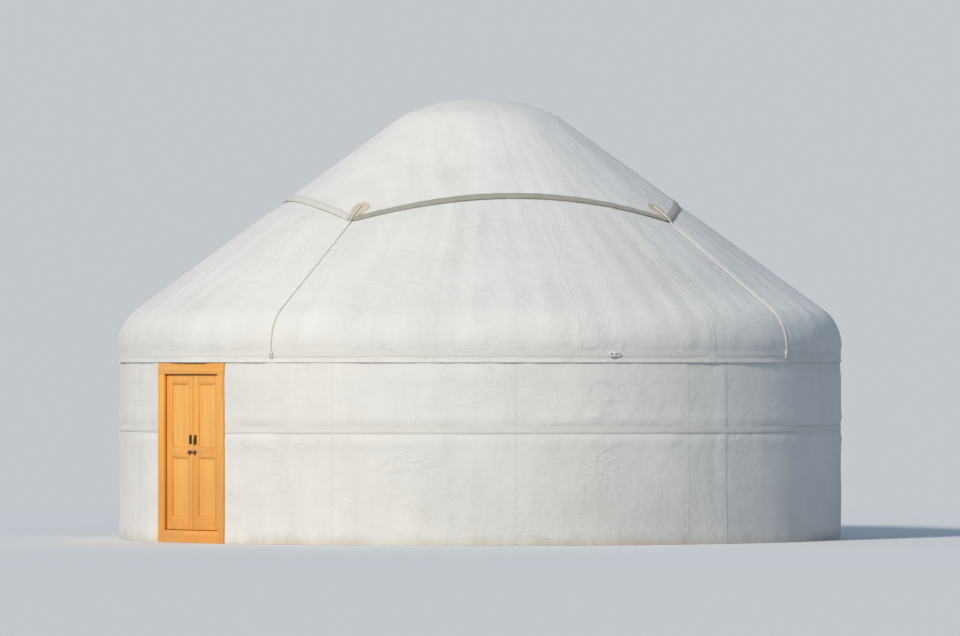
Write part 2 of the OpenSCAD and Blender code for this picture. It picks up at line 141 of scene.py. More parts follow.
# %% A finish: one material and the nodes in it
class Finish:
    """A material that is built up by node() and closed by shade()."""

    def __init__(self, name):
        self.material = bpy.data.materials.new(name)
        self.material.use_nodes = True
        self.tree = self.material.node_tree
        self.shader = self.tree.nodes["Principled BSDF"]

    def node(self, kind, settings=None, inputs=None, output=0):
        made = self.tree.nodes.new("ShaderNode" + kind)
        for key, value in (settings or {}).items():
            if key == "stops":
                self.fill_ramp(made.color_ramp, value)
            else:
                setattr(made, key, value)
        for key, value in (inputs or {}).items():
            self.feed(made.inputs[key], value)
        return Wire(self, made.outputs[output])

    def feed(self, socket, value):
        if isinstance(value, Wire):
            self.tree.links.new(value.socket, socket)
        else:
            socket.default_value = value

    @staticmethod
    def fill_ramp(ramp, stops):
        while len(ramp.elements) < len(stops):
            ramp.elements.new(0.5)
        for element, (place, colour) in zip(ramp.elements, stops):
            element.position = place
            element.color = (*colour, 1)

    def ramp(self, wire, stops):
        return self.node("ValToRGB", {"stops": stops}, {0: wire})

    def mix(self, factor, first, second):
        """A mix of two colours, each a wire or three numbers."""
        pair = [c if isinstance(c, Wire) else (*c, 1) for c in (first, second)]
        return self.node("Mix", {"data_type": "RGBA"}, {0: factor, 6: pair[0], 7: pair[1]}, 2)

    def noise(self, place, scale, detail=3.0, rough=0.55):
        return self.node("TexNoise", {}, {"Vector": place, "Scale": scale, "Detail": detail,
                                          "Roughness": rough})

    def stretched(self, place, x, y, z):
        """The same place measured with another ruler along each axis."""
        return self.node("Mapping", {}, {"Vector": place, "Scale": (x, y, z)})

    def joined(self, x, y, z):
        """A place made of three numbers."""
        return self.node("CombineXYZ", {}, {"X": x, "Y": y, "Z": z})

    def bump(self, height, strength=0.7):
        """Relief from a height in metres."""
        return self.node("Bump", {}, {"Height": height, "Strength": strength, "Distance": 1.0})

    def shade(self, colour, rough, normal=None, **constants):
        colour = colour if isinstance(colour, Wire) else (*colour, 1)
        self.feed(self.shader.inputs["Base Color"], colour)
        self.feed(self.shader.inputs["Roughness"], rough)
        if normal is not None:
            self.feed(self.shader.inputs["Normal"], normal)
        for key, value in constants.items():
            self.shader.inputs[key.replace("_", " ")].default_value = value
        return self.material

    def place(self):
        return self.node("TexCoord", {}, {}, "Object")

    def cloth_place(self):
        """The piece's own UV map, in metres along and across the piece."""
        return self.node("UVMap", {"uv_map": "cloth"}, {})


# %% [markdown]
# ## Canvas
# The outer cover is sun-bleached cotton canvas. From afar it is nearly white, warm where it is
# clean and greyer where dust has settled, with a thin tan line of mud at the ground. Close up it
# has a plain weave, sewn seams and a stitched hem. The same grey is painted into its creases and
# beside each seam's lap as painted shade. These sit on the cloth's own UV map and turn with the
# cloth, and the mud follows the height in the object's own coordinates.

# %% The canvas finish
CANVAS_WHITE = (0.76, 0.745, 0.705)
# The grey is for real dust and also for painted shade in the creases and beside the seams
CANVAS_DUST_AND_SHADE = (0.61, 0.595, 0.56)
MUD_TAN = (0.47, 0.37, 0.25)
SEAM_LAP = 0.012
HEM_STITCH = 0.028
STITCH_HALF = 0.0015
CANVAS_THREADS, BAND_THREADS, TAPE_THREADS = 420, 160, 230


def weave_height(cloth, threads_per_metre):
    """Two crossed sets of threads, each a sine along one direction of the cloth."""
    turns = threads_per_metre * 2 * math.pi
    warp = (cloth.part("X") * turns).maths("SINE")
    weft = (cloth.part("Y") * turns).maths("SINE")
    return warp * weft


def line_at(value, centre, width):
    """1 on a line, and 0 further from it than the width."""
    return 1 - (value - centre).maths("ABSOLUTE").clamped(0.0, width)


def make_canvas(name, seam_every, mud=False):
    canvas = Finish(name)
    cloth, place = canvas.cloth_place(), canvas.place()
    fade = canvas.noise(canvas.stretched(place, 0.5, 0.5, 1.2), 1.0, 4.0)
    streak = canvas.noise(canvas.stretched(cloth, 5.0, 0.6, 1), 1.0, 5.0)
    blotch = canvas.noise(place, 2.2, 6.0, 0.65)
    dust = (fade * 0.45 + streak * 0.3 + blotch * 0.25).clamped(0.40, 0.64)
    web = canvas.noise(canvas.stretched(cloth, 1.6, 2.6, 1), 1.0, 5.0, 0.6)
    crumpled = canvas.noise(place, 1.3, 2.0).clamped(0.42, 0.58)
    crease = line_at(web, 0.5, 0.035) * crumpled
    # The creases are darkened toward the grey as painted shade; the dust term is real dust
    colour = canvas.mix(dust * 0.68 + crease * 0.10, CANVAS_WHITE, CANVAS_DUST_AND_SHADE)
    from_seam = cloth.part("X").maths("PINGPONG", seam_every / 2)
    lap = 1 - from_seam.clamped(SEAM_LAP, SEAM_LAP + 0.002)
    seam_stitch = line_at(from_seam, SEAM_LAP - 0.003, STITCH_HALF)
    hem_stitch = line_at(cloth.part("Y"), HEM_STITCH, STITCH_HALF)
    hem = 1 - cloth.part("Y").clamped(HEM_STITCH + 0.003, HEM_STITCH + 0.005)
    stitches = seam_stitch.maths("MAXIMUM", hem_stitch)
    # A painted shadow along each seam's lap, in the same grey
    shadow = line_at(from_seam, SEAM_LAP + 0.003, 0.004)
    colour = canvas.mix(stitches * 0.45 + shadow * 0.25, colour, CANVAS_DUST_AND_SHADE)
    if mud:
        spatter = canvas.noise(canvas.stretched(place, 1, 1, 0.5), 10.0, 6.0)
        drift = canvas.noise(canvas.stretched(place, 1, 1, 0.1), 0.9, 3.0).clamped(0.35, 0.65)
        height = place.part("Z") + spatter * 0.14
        low = 1 - height.clamped(0.06, 0.17)
        colour = canvas.mix(low * (drift * 0.5 + 0.15), colour, MUD_TAN)
    lumps = canvas.noise(place, 14.0, 4.0) * 0.004 + canvas.noise(place, 4.5, 3.0) * 0.014
    sewn = lap * 0.0012 + hem * 0.0015 - stitches * 0.0012
    relief = lumps + crease * 0.003 + weave_height(cloth, CANVAS_THREADS) * 0.0003 + sewn
    return canvas.shade(colour, 0.9, canvas.bump(relief), Sheen_Weight=0.1, Sheen_Roughness=0.5)


wall_canvas_finish = make_canvas("wall_canvas", 1.5, mud=True)
roof_canvas_finish = make_canvas("roof_canvas", math.tau * WALL_R / 16)
crown_cloth_finish = make_canvas("crown_cloth", 1.3)
print("canvas finishes made")

# %% [markdown]
# ## Felt
# Under the canvas lies pressed sheep's wool, seen from the inside between the lattice rods. It has
# no threads: its colour is a cloudy mix of fleeces and its surface a mat of short hairs, from two
# noises of very different scale.

# %% The felt finish
FELT_GREY, FELT_WHITE = (0.44, 0.40, 0.33), (0.66, 0.62, 0.54)


def make_felt():
    felt = Finish("wool_felt")
    place = felt.place()
    clouds = felt.noise(place, 2.5, 5.0)
    hairs = felt.noise(felt.stretched(place, 1, 1, 1.6), 160.0, 6.0, 0.7)
    colour = felt.ramp(clouds * 0.7 + hairs * 0.3, [(0.3, FELT_GREY), (0.7, FELT_WHITE)])
    return felt.shade(colour, 0.97, felt.bump(hairs * 0.003), Sheen_Weight=0.3, Sheen_Roughness=0.6)


felt_finish = make_felt()

# %% [markdown]
# ## Wood
# The yurt has four woods: oiled willow in the lattice, ochre paint on the poles and the crown,
# orange varnish on the door, and dark turned knobs. One recipe serves them all: long thin noise
# for the grain, broad noise for the tone, and a finer noise in the gloss. The door's members are
# sawn along their length, so their grain follows a UV map that runs along each one.

# %% The wood finishes
OCHRE, OCHRE_DARK, BARE_WOOD = (0.44, 0.085, 0.04), (0.30, 0.05, 0.025), (0.38, 0.22, 0.12)
KNOB, KNOB_DARK = (0.16, 0.07, 0.03), (0.07, 0.03, 0.015)
VARNISH, VARNISH_DARK, DOOR_WORN = (0.88, 0.43, 0.085), (0.69, 0.28, 0.038), (0.38, 0.22, 0.10)
PANEL, PANEL_DARK = (0.90, 0.48, 0.105), (0.75, 0.32, 0.05)


def grained(wood, place, light, dark, gloss, grain):
    """The grain's colour, roughness and height, on a place with X along the wood."""
    fibres = wood.noise(wood.stretched(place, *grain), 1.0, 6.0, 0.6)
    bands = wood.noise(wood.stretched(place, *(g * 0.22 for g in grain)), 1.0, 3.0)
    colour = wood.ramp(fibres * 0.5 + bands * 0.5, [(0.34, dark), (0.62, light)])
    return colour, fibres * 0.25 + gloss, fibres * 0.0012


def make_door_wood(name, light, dark):
    wood = Finish(name)
    colour, rough, relief = grained(wood, wood.cloth_place(), light, dark, 0.26, (3, 70, 1))
    place = wood.place()
    height = place.part("Z")
    low = 1 - height.clamped(0.45, 0.85)
    colour = wood.mix(low * 0.45, colour, dark)
    scuffs = wood.noise(place, 16.0, 6.0, 0.7).clamped(0.62, 0.72)
    near_ground = 1 - height.clamped(0.02, 0.5)
    colour = wood.mix(scuffs * (near_ground * 0.5 + 0.12), colour, DOOR_WORN)
    return wood.shade(colour, rough, wood.bump(relief), Coat_Weight=0.35, Coat_Roughness=0.3)


def make_paint():
    paint = Finish("ochre_paint")
    place = paint.place()
    colour, rough, relief = grained(paint, place, OCHRE, OCHRE_DARK, 0.42, (18, 18, 9))
    rubbed = paint.noise(place, 11.0, 6.0, 0.7).clamped(0.6, 0.7)
    colour = paint.mix(rubbed * 0.6, colour, BARE_WOOD)
    return paint.shade(colour, rough, paint.bump(relief), Coat_Weight=0.1, Coat_Roughness=0.4)


def make_knob_wood():
    knob = Finish("dark_knob")
    colour, rough, relief = grained(knob, knob.place(), KNOB, KNOB_DARK, 0.25, (60, 60, 60))
    return knob.shade(colour, rough, knob.bump(relief), Coat_Weight=0.4, Coat_Roughness=0.25)


door_finish = make_door_wood("door_varnish", VARNISH, VARNISH_DARK)
panel_finish = make_door_wood("panel_varnish", PANEL, PANEL_DARK)
paint_finish = make_paint()
knob_finish = make_knob_wood()

# %% [markdown]
# ### Grain that follows crossed rods
# The lattice's rods lean two ways, in an outer and an inner layer. Their mesh has no UV map, but
# they are regular, so the shader works out where it is: the distance along the wall comes from the
# angle round the yurt, the layer from the distance to the axis, and a turn by the rods' slope
# gives the place along and across a rod.

# %% The lattice finish
FELT_AND_GAP = 0.0103
LATTICE_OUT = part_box("wall_felt_1")[1].x - FELT_AND_GAP
ROD_T = 0.014
LATTICE_MID, LATTICE_IN = LATTICE_OUT - ROD_T, LATTICE_OUT - 2 * ROD_T
CELLS, ROWS = 10, 9
FOOT_ROW, HEAD_ROW = 0.05, 1.47
ROW_H = (HEAD_ROW - FOOT_ROW) / ROWS


def angle_of(point):
    """The angle of a point, counted from the door against the clock, in radians."""
    return math.atan2(point.x, -point.y)


def node_span(node):
    """The angles between which a wall node runs, unwrapped past the back of the yurt."""
    found = sorted(angle_of(v.co) % math.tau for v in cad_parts[node].data.vertices)
    return found[0], found[-1]


SECTION_TURN = node_span("lattice_2")[1] - node_span("lattice_2")[0]
LATTICE_START = math.pi - 3 * SECTION_TURN  # three of the six sections on each side of the door
CELL_TURN = SECTION_TURN / CELLS
ROD_SLOPE = math.atan2(2 * ROW_H, LATTICE_MID * CELL_TURN)
WILLOW, WILLOW_DARK = (0.50, 0.30, 0.14), (0.27, 0.14, 0.06)


def make_willow():
    willow = Finish("willow")
    place = willow.place()
    x, y, z = (place.part(name) for name in "XYZ")
    round_wall = x.maths("ARCTAN2", y * -1) * LATTICE_MID
    from_axis = (x * x + y * y).maths("SQRT")
    lean = from_axis.clamped(LATTICE_MID - 0.001, LATTICE_MID) * 2 - 1
    sideways = round_wall * lean
    along = sideways * math.cos(ROD_SLOPE) + z * math.sin(ROD_SLOPE)
    across = z * math.cos(ROD_SLOPE) - sideways * math.sin(ROD_SLOPE)
    colour, rough, relief = grained(willow, willow.joined(along, across, from_axis), WILLOW,
                                    WILLOW_DARK, 0.45, (5, 90, 60))
    return willow.shade(colour, rough, willow.bump(relief), Coat_Weight=0.15, Coat_Roughness=0.4)


willow_finish = make_willow()

# %% [markdown]
# ## Bands, rope, leather, trim and iron
# The girth bands are woven of undyed wool with a darker stripe near each edge. The ropes are laid
# from two strands of hair, the lattice is pinned with rawhide, the crown cover is bound with an
# olive-grey tape, and the door has a little black iron. What is woven or laid reads the UV map.

# %% The finishes of the small parts
BAND_PALE, BAND_SOILED, BAND_STRIPE = (0.75, 0.735, 0.69), (0.66, 0.645, 0.60), (0.48, 0.45, 0.39)
# The third tape colour is painted light: the paler tape on the side that faces the sun
TAPE_LIGHT, TAPE_DARK, TAPE_PAINTED_LIT = (0.40, 0.38, 0.31), (0.30, 0.29, 0.235), (0.64, 0.62, 0.56)
IRON_BLACK, RUST = (0.05, 0.048, 0.045), (0.17, 0.07, 0.03)


def make_band():
    band = Finish("woven_band")
    cloth = band.cloth_place()
    from_middle = cloth.part("Y").maths("ABSOLUTE")
    stripe = from_middle.clamped(BAND_HALF * 0.55, BAND_HALF * 0.6) - from_middle.clamped(
        BAND_HALF * 0.8, BAND_HALF * 0.85)
    soil = band.noise(band.place(), 4.0, 4.0)
    colour = band.mix(soil, BAND_PALE, BAND_SOILED)
    colour = band.mix(stripe * 0.22, colour, BAND_STRIPE)
    relief = weave_height(cloth, BAND_THREADS) * 0.0008
    return band.shade(colour, 0.92, band.bump(relief), Sheen_Weight=0.2)


def make_fibre(name, light, dark, scale):
    """Hair rope, rawhide or leather: fine streaks along the piece on a broad change of tone."""
    fibre = Finish(name)
    streaks = fibre.noise(fibre.stretched(fibre.cloth_place(), 1.0, 0.15, 1.0), scale, 4.0)
    tone = fibre.noise(fibre.place(), 9.0, 3.0)
    colour = fibre.ramp(streaks * 0.6 + tone * 0.4, [(0.3, dark), (0.7, light)])
    return fibre.shade(colour, 0.88, fibre.bump(streaks * 0.0012))


def make_trim():
    """The hem's tape. The strip over the door is painted paler, as painted light where the sun
    falls on it.
    """
    trim = Finish("olive_tape")
    cloth, place = trim.cloth_place(), trim.place()
    x, y = place.part("X"), place.part("Y")
    tone = trim.noise(place, 7.0, 5.0)
    outward = x * math.sin(SUNNY_SIDE) - y * math.cos(SUNNY_SIDE)
    along = x * math.cos(SUNNY_SIDE) + y * math.sin(SUNNY_SIDE)
    # Painted light: the strip on the sunny side is painted paler, as lit by the sun
    painted_lit_strip = (outward - along.maths("ABSOLUTE")).clamped(0.0, 0.12)
    colour = trim.mix(tone, TAPE_LIGHT, TAPE_DARK)
    colour = trim.mix(painted_lit_strip, colour, TAPE_PAINTED_LIT)
    relief = weave_height(cloth, TAPE_THREADS) * 0.0006
    return trim.shade(colour, 0.9, trim.bump(relief), Sheen_Weight=0.15)


def make_iron():
    iron = Finish("black_iron")
    pits = iron.noise(iron.place(), 90.0, 5.0)
    rust = iron.noise(iron.place(), 25.0, 5.0).clamped(0.56, 0.66)
    colour = iron.mix(rust * 0.6, IRON_BLACK, RUST)
    return iron.shade(colour, pits * 0.3 + 0.4, iron.bump(pits * 0.0006), Metallic=0.8)


band_finish = make_band()
rope_finish = make_fibre("hair_rope", (0.79, 0.76, 0.69), (0.62, 0.585, 0.505), 260.0)
rawhide_finish = make_fibre("rawhide", (0.50, 0.36, 0.21), (0.25, 0.16, 0.08), 180.0)
leather_finish = make_fibre("leather_patch", (0.62, 0.55, 0.44), (0.47, 0.39, 0.29), 120.0)
trim_finish = make_trim()
iron_finish = make_iron()
print("wood, felt, rope and iron finishes made")

# %% [markdown]
# ## How a mesh becomes a piece
# Each piece ends the same way: creases sharper than a fold are marked, the mesh is stored, given
# its finish and tied to a body of the frame. Most pieces stand for a plain solid of the frame,
# which is then hidden.

# %% Start, thicken and store a piece
CREASE = math.radians(40)
SECTIONS = range(1, 7)
WELD_GAP = 1e-5


def start_piece():
    """An empty mesh with the UV map that the finishes read."""
    made = bmesh.new()
    made.loops.layers.uv.new("cloth")
    return made


def thicken(made, thickness):
    """Gives a sheet its thickness, inward from the face that was shaped."""
    bmesh.ops.solidify(made, geom=made.faces[:], thickness=thickness)


def weld(made):
    """Joins the edges of bent grids that meet."""
    bmesh.ops.remove_doubles(made, verts=made.verts[:], dist=WELD_GAP)


def close_seams(made):
    """Joins a bent grid's meeting edges, closes its open ends and turns its faces outward."""
    weld(made)
    bmesh.ops.holes_fill(made, edges=[e for e in made.edges if e.is_boundary], sides=0)
    bmesh.ops.recalc_face_normals(made, faces=made.faces[:])


def face_up(made, faces=None):
    """Turns a laid sheet over if its faces, or the given ones, look down."""
    made.normal_update()
    if sum(f.normal.z for f in faces or made.faces) < 0:
        bmesh.ops.reverse_faces(made, faces=made.faces[:])


def placed(name, data):
    """An object made from a mesh, a light or a camera, and put into the scene."""
    thing = bpy.data.objects.new(name, data)
    bpy.context.collection.objects.link(thing)
    return thing


def mesh_of(name, made):
    """Stores what was built as a mesh and frees it."""
    mesh = bpy.data.meshes.new(name)
    made.to_mesh(mesh)
    made.free()
    return mesh


def store(name, made, finish, slot, body="house", replaces=()):
    made.normal_update()
    for edge in made.edges:
        edge.smooth = len(edge.link_faces) == 2 and edge.calc_face_angle() < CREASE
    for face in made.faces:
        face.smooth = True
    piece = placed(name, mesh_of(name, made))
    piece.data.materials.append(finish)
    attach(piece, body)
    if replaces:
        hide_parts(*replaces)
    return piece


def dress(finish, *nodes):
    """Gives a solid of the frame, which stays in view, its finish."""
    for node in nodes:
        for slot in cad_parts[node].material_slots:
            slot.material = finish


dress(willow_finish, *(f"lattice_{i}" for i in SECTIONS))
dress(paint_finish, *(f"roof_poles_{i}" for i in SECTIONS), "roof_poles_door", "crown_ring",
      "crown_bars_lower", "crown_bars_upper")
dress(knob_finish, "door_knob_left", "door_knob_right")

# %% [markdown]
# ## The covers' outline and how cloth gives
# A cover is turned like clay on a wheel: its outline, from the lower edge up, is spun round the
# yurt's axis. That alone would look like sheet metal, so each vertex then moves along its own
# normal, as cloth does: in long upright folds where it hangs, short puckers beside a band that
# draws it in, and shallow hollows between the roof poles.

# %% The outline
def outline(depth, low_z, high_r, step):
    """Points (r, z, tilt of the outward direction) from the lower edge up, about one step apart."""
    rise = SHOULDER_Z - low_z
    upright = max(2, round(rise / step))
    points = [(WALL_R - depth, low_z + rise * i / upright, 0.0) for i in range(upright)]
    bend = SHOULDER_BEND - depth
    turns = max(6, round(bend * TURN / step))
    for i in range(turns):
        a = TURN * i / turns
        points.append((SHOULDER_R + bend * math.cos(a), SHOULDER_Z + bend * math.sin(a), a))
    start_r = SHOULDER_R + bend * math.cos(TURN)
    slope = max(2, round((start_r - high_r) / math.cos(PITCH) / step))
    for i in range(slope + 1):
        r = start_r + (high_r - start_r) * i / slope
        points.append((r, roof_z(r, depth), TURN))
    return points


def upright_line(depth, low_z, high_z, step):
    count = max(2, round((high_z - low_z) / step))
    return [(WALL_R - depth, low_z + (high_z - low_z) * i / count, 0.0) for i in range(count + 1)]


def place_at(angle, r, z):
    """A point at an angle counted from the door, seen from above against the clock."""
    return Vector((r * math.sin(angle), -r * math.cos(angle), z))


def sides_at(angle):
    """The directions outward and along the wall at an angle."""
    return place_at(angle, 1, 0), Vector((math.cos(angle), math.sin(angle), 0))


def cloth_noise(angle, height, across, up, seed):
    """Smooth noise from -1 to 1, with this many waves a metre round the wall and up it."""
    ring = WALL_R * across
    return noise.noise(Vector((math.sin(angle) * ring + seed, math.cos(angle) * ring, height * up)))


def swell(angle, height, across, up, seed):
    """The same noise from 0 to 1, for cloth that may only stand out."""
    return 0.5 + 0.5 * cloth_noise(angle, height, across, up, seed)


# %% Where the poles press from below
def pole_angles(node):
    """The middle of each cluster of angles among the vertices at the poles' feet."""
    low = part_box(node)[0].z
    feet = [angle_of(v.co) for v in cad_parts[node].data.vertices if v.co.z < low + 0.002]
    found = []
    for a in sorted(feet):
        if found and a - found[-1][-1] < math.radians(1.5):
            found[-1].append(a)
        else:
            found.append([a])
    return [(group[0] + group[-1]) / 2 for group in found]


WALL_POLES = sorted(a for i in SECTIONS for a in pole_angles(f"roof_poles_{i}"))
POLES = sorted(WALL_POLES + pole_angles("roof_poles_door"))
print(len(POLES), "poles found")


def between_poles(angle):
    """0 over a pole and 1 half-way to the next."""
    angle = (angle + math.pi) % math.tau - math.pi
    after = next((i for i, a in enumerate(POLES) if a > angle), 0)
    low, high = POLES[after - 1], POLES[after]
    share = ((angle - low) % math.tau) / ((high - low) % math.tau)
    return math.sin(math.pi * share) ** 2


# %% [markdown]
# ## Spinning a cover
# A cover starts as its outline, a chain of vertices in one upright plane. The spin operator
# carries the chain round the axis and leaves a clean grid of faces, which are turned over if they
# look inward. Each vertex's place on the flat cloth is written to the UV map, and then the vertex
# is moved.

# %% Spin and shape a cover
def fade(value, low, high):
    """0 below low, 1 above high and even between."""
    return max(0.0, min(1.0, (value - low) / (high - low)))


def spun_cover(points, start, end, shape, step_angle):
    """A sheet spun from start to end, moved outward by shape(angle, z, tilt)."""
    made = start_piece()
    cloth = made.loops.layers.uv["cloth"]
    chain = [made.verts.new(place_at(start, r, z)) for r, z, tilt in points]
    edges = [made.edges.new(pair) for pair in zip(chain, chain[1:])]
    steps = max(2, round((end - start) / step_angle))
    bmesh.ops.spin(made, geom=chain + edges, cent=(0, 0, 0), axis=(0, 0, 1), angle=end - start,
                   steps=steps, use_merge=False)
    made.normal_update()
    outward = sum(f.normal.dot(Vector((*f.calc_center_median().xy, 1))) for f in made.faces)
    if outward < 0:
        bmesh.ops.reverse_faces(made, faces=made.faces[:])
    along = [0.0]
    for (r0, z0, _), (r1, z1, _) in zip(points, points[1:]):
        along.append(along[-1] + math.hypot(r1 - r0, z1 - z0))
    rows = {round(z, 4): (s, tilt) for (r, z, tilt), s in zip(points, along)}
    middle = (start + end) / 2
    moves, flat = {}, {}
    for v in made.verts:
        s, tilt = rows[min(rows, key=lambda z: abs(z - v.co.z))]
        a = middle + (angle_of(v.co) - middle + math.pi) % math.tau - math.pi
        out = Vector((math.sin(a) * math.cos(tilt), -math.cos(a) * math.cos(tilt), math.sin(tilt)))
        moves[v] = out * shape(a, v.co.z, tilt)
        flat[v] = (a * WALL_R, s)
    for f in made.faces:
        for loop in f.loops:
            loop[cloth].uv = flat[loop.vert]
    for v, move in moves.items():
        v.co += move
    return made, along[-1]


def fan_area(points, turn):
    """The flat area of a spun cover, added up from the rings between its rows."""
    return sum(turn * (r0 + r1) / 2 * math.hypot(r1 - r0, z1 - z0)
               for (r0, z0, _), (r1, z1, _) in zip(points, points[1:]))


# %% [markdown]
# ## The crown cover's shape
# The crown cover is one big square of cloth with bowed sides, laid over the dome with its corners
# out along the roof. Its reach comes first, because the roof canvas lies smooth under it and
# billows only beyond it. Its height follows a dome over the crown ring and the roof's slope
# outside it, with a soft change between them.

# %% The crown cover's reach and height
COVER_CORNER, COVER_SIDE = 1.88, 1.62
CORNER_BLUNT = 0.012
QUARTER = math.pi / 2
COVER_HALF = COVER_CORNER / math.sqrt(2)
BOW_CENTRE = (COVER_SIDE ** 2 - 2 * COVER_HALF ** 2) / (2 * (COVER_SIDE - COVER_HALF))
BOW_R = COVER_SIDE - BOW_CENTRE


def from_corner(angle):
    """The turn from the nearest corner of the crown cover, at most an eighth either way."""
    return (angle - CORNER_TURN + QUARTER / 2) % QUARTER - QUARTER / 2


def cover_reach(angle):
    """How far the crown cover reaches from the axis, seen from above."""
    side = QUARTER / 2 - abs(from_corner(angle))
    reach = BOW_CENTRE * math.cos(side) + math.sqrt(BOW_R ** 2 - (BOW_CENTRE * math.sin(side)) ** 2)
    return min(reach, COVER_CORNER - CORNER_BLUNT)


# %% The crown cover's height
RING_R, RING_W = 0.70, 0.085
CROWN_RISE = 0.145
COVER_LIFT = 0.0123
COVER_T = 0.008
RIM_SOFT = 0.02
RING_EDGE_R = RING_R - RING_W * math.cos(PITCH)
RING_EDGE_Z = roof_z(RING_R) + RING_W * math.sin(PITCH)
DOME_R = (RING_EDGE_R ** 2 + CROWN_RISE ** 2) / (2 * CROWN_RISE) + COVER_LIFT
DOME_Z = RING_EDGE_Z + CROWN_RISE + COVER_LIFT - DOME_R
DOME_END = 0.9


def cover_z(r):
    """Height of the crown cover's outer face at a distance from the axis."""
    slope = roof_z(r, -COVER_LIFT)
    if r > DOME_END:
        return slope
    dome = DOME_Z + math.sqrt(DOME_R ** 2 - r * r)
    share = fade(dome - slope, -RIM_SOFT, RIM_SOFT)
    return dome + (slope - dome) * share - RIM_SOFT / 2 * share * (1 - share)


print(f"crown top {cover_z(0):.4f} m, frame {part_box('crown_cover')[1].z:.4f} m")

# %% [markdown]
# ## The folds themselves
# Fields of movement, in metres. The wall hangs in long soft folds that die out at the bands. The
# roof sinks a little between poles, has faint ripples running up it and lies flat under the crown
# cover and the ropes. The skirt has spare cloth, because a cone's edge is wider than the wall it
# hangs on, and the upper band gathers it in puckers.

# %% Fold fields
WALL_HANG, WALL_FINE, WALL_DRAG = 0.014, 0.004, 0.014
FOOT_FLARE = 0.006
BAND_PUCKER = 0.009
POLE_HOLLOW = 0.0055
ROOF_LOFT = 0.006
ROOF_RIPPLE, ROOF_SWELL, ROOF_DRAG = 0.006, 0.007, 0.007


def near(value, centre, width):
    """A smooth bump that is 1 at the centre and fades over the width."""
    return math.exp(-((value - centre) / width) ** 2)


def radius_at(z, tilt):
    """A point's radius: from its height on the slope, and the wall's elsewhere."""
    return WALL_R - (z - CORNER_Z) / math.tan(PITCH) if tilt > TURN * 0.99 else WALL_R


def wall_give(angle, z, tilt):
    hang = swell(angle, z, 1.7, 0.55, 3.1)
    fine = swell(angle, z, 5.5, 1.3, 7.7)
    pucker = swell(angle, z, 11.0, 3.0, 12.3)
    free = (1 - near(z, LOWER_BAND_Z, 0.05)) * (1 - fade(z, SKIRT_Z - 0.12, SKIRT_Z - 0.01))
    beside = near(z, LOWER_BAND_Z + 0.08, 0.06) + near(z, LOWER_BAND_Z - 0.08, 0.06)
    flare = FOOT_FLARE * near(z, 0.0, 0.10) * swell(angle, z, 2.6, 1.0, 21.0)
    drag = max(0.0, cloth_noise(angle + 0.3 * z, z, 2.2, 0.5, 71.0))
    long_folds = WALL_HANG * hang ** 2 + WALL_FINE * fine + WALL_DRAG * drag
    return free * (long_folds + BAND_PUCKER * pucker * beside) + flare


def rope_press(angle):
    """1 under one of the crown cover's four ropes and 0 away from it."""
    return near(from_corner(angle) * WALL_R, 0.0, 0.035)


def roof_give(angle, z, tilt):
    r, on_slope = radius_at(z, tilt), tilt / TURN
    hollow = POLE_HOLLOW * between_poles(angle) * on_slope * r / WALL_R
    ripple = ROOF_RIPPLE * swell(angle, z, 2.4, 0.5, 31.0)
    ripple += ROOF_SWELL * swell(angle, z, 1.1, 1.1, 37.0)
    ripple += ROOF_DRAG * max(0.0, cloth_noise(angle - 0.25 * z, z, 2.0, 0.6, 73.0))
    gather = near(z, UPPER_BAND_Z + 0.09, 0.07) + 0.8 * near(z, SKIRT_Z, 0.04)
    pucker = BAND_PUCKER * gather * max(0.0, cloth_noise(angle, z, 7.0, 1.2, 41.0) + 0.3)
    open_roof = fade(r, cover_reach(angle) - 0.02, cover_reach(angle) + 0.15)
    held = (1 - near(z, UPPER_BAND_Z, 0.04)) * (1 - rope_press(angle)) * open_roof
    return held * (ripple + pucker + ROOF_LOFT * on_slope - hollow)


# %% [markdown]
# ## Canvas, lapped at its ends
# Where two lengths of canvas meet, one laps over the other, as on a tent. The upper one is spun a
# little past the joint and lifted there by the thickness of the one below. The wall takes four
# lengths and the roof two fans, wide at the skirt and narrow at the crown, and the front fan laps
# over the back one at both sides.

# %% Spin a cover for a node, and the wall canvas
CANVAS_T = 0.0025
LAP_LIFT = CANVAS_T + 0.0007
LAP_TURN = 0.022
FOOT_Z = 0.001
WALL_STEP, FELT_STEP, ROOF_STEP = math.radians(0.6), math.radians(0.65), math.radians(0.8)
WALL_CANVAS = ("cloth", CANVAS_T, wall_canvas_finish, "canvas")
ROOF_CANVAS = ("cloth", CANVAS_T, roof_canvas_finish, "canvas")


def make_cover(node, points, span, give, step_angle, stuff, gap=0.0):
    """Spins a cover, short of its end by a gap, and returns it with its flat width and height."""
    suffix, thickness, finish, slot = stuff
    start, end = span
    made, height = spun_cover(points, start, end - gap, give, step_angle)
    thicken(made, thickness)
    piece = store(f"{node}_{suffix}", made, finish, slot, replaces=[node])
    return piece, ((end - start) * WALL_R, height)


def wall_lap(angle, z, tilt):
    """The wall's movement with a lift at the length's end, where it lies over its neighbour."""
    lift = LAP_LIFT * (1 - fade(lap_end - angle, LAP_TURN, 1.6 * LAP_TURN))
    return wall_give(angle, z, tilt) + lift * (1 - fade(z, SKIRT_Z - 0.05, SKIRT_Z - 0.01))


WALL_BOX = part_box("wall_canvas_1")
WALL_LINE = upright_line(WALL_R - WALL_BOX[1].x, FOOT_Z, WALL_BOX[1].z, 0.025)
for i in range(1, 5):
    start, end = node_span(f"wall_canvas_{i}")
    lap_end = end + LAP_TURN if i < 4 else end
    piece, flat = make_cover(f"wall_canvas_{i}", WALL_LINE, (start, lap_end),
                             wall_lap if i < 4 else wall_give, WALL_STEP, WALL_CANVAS)
print("wall canvas hung")

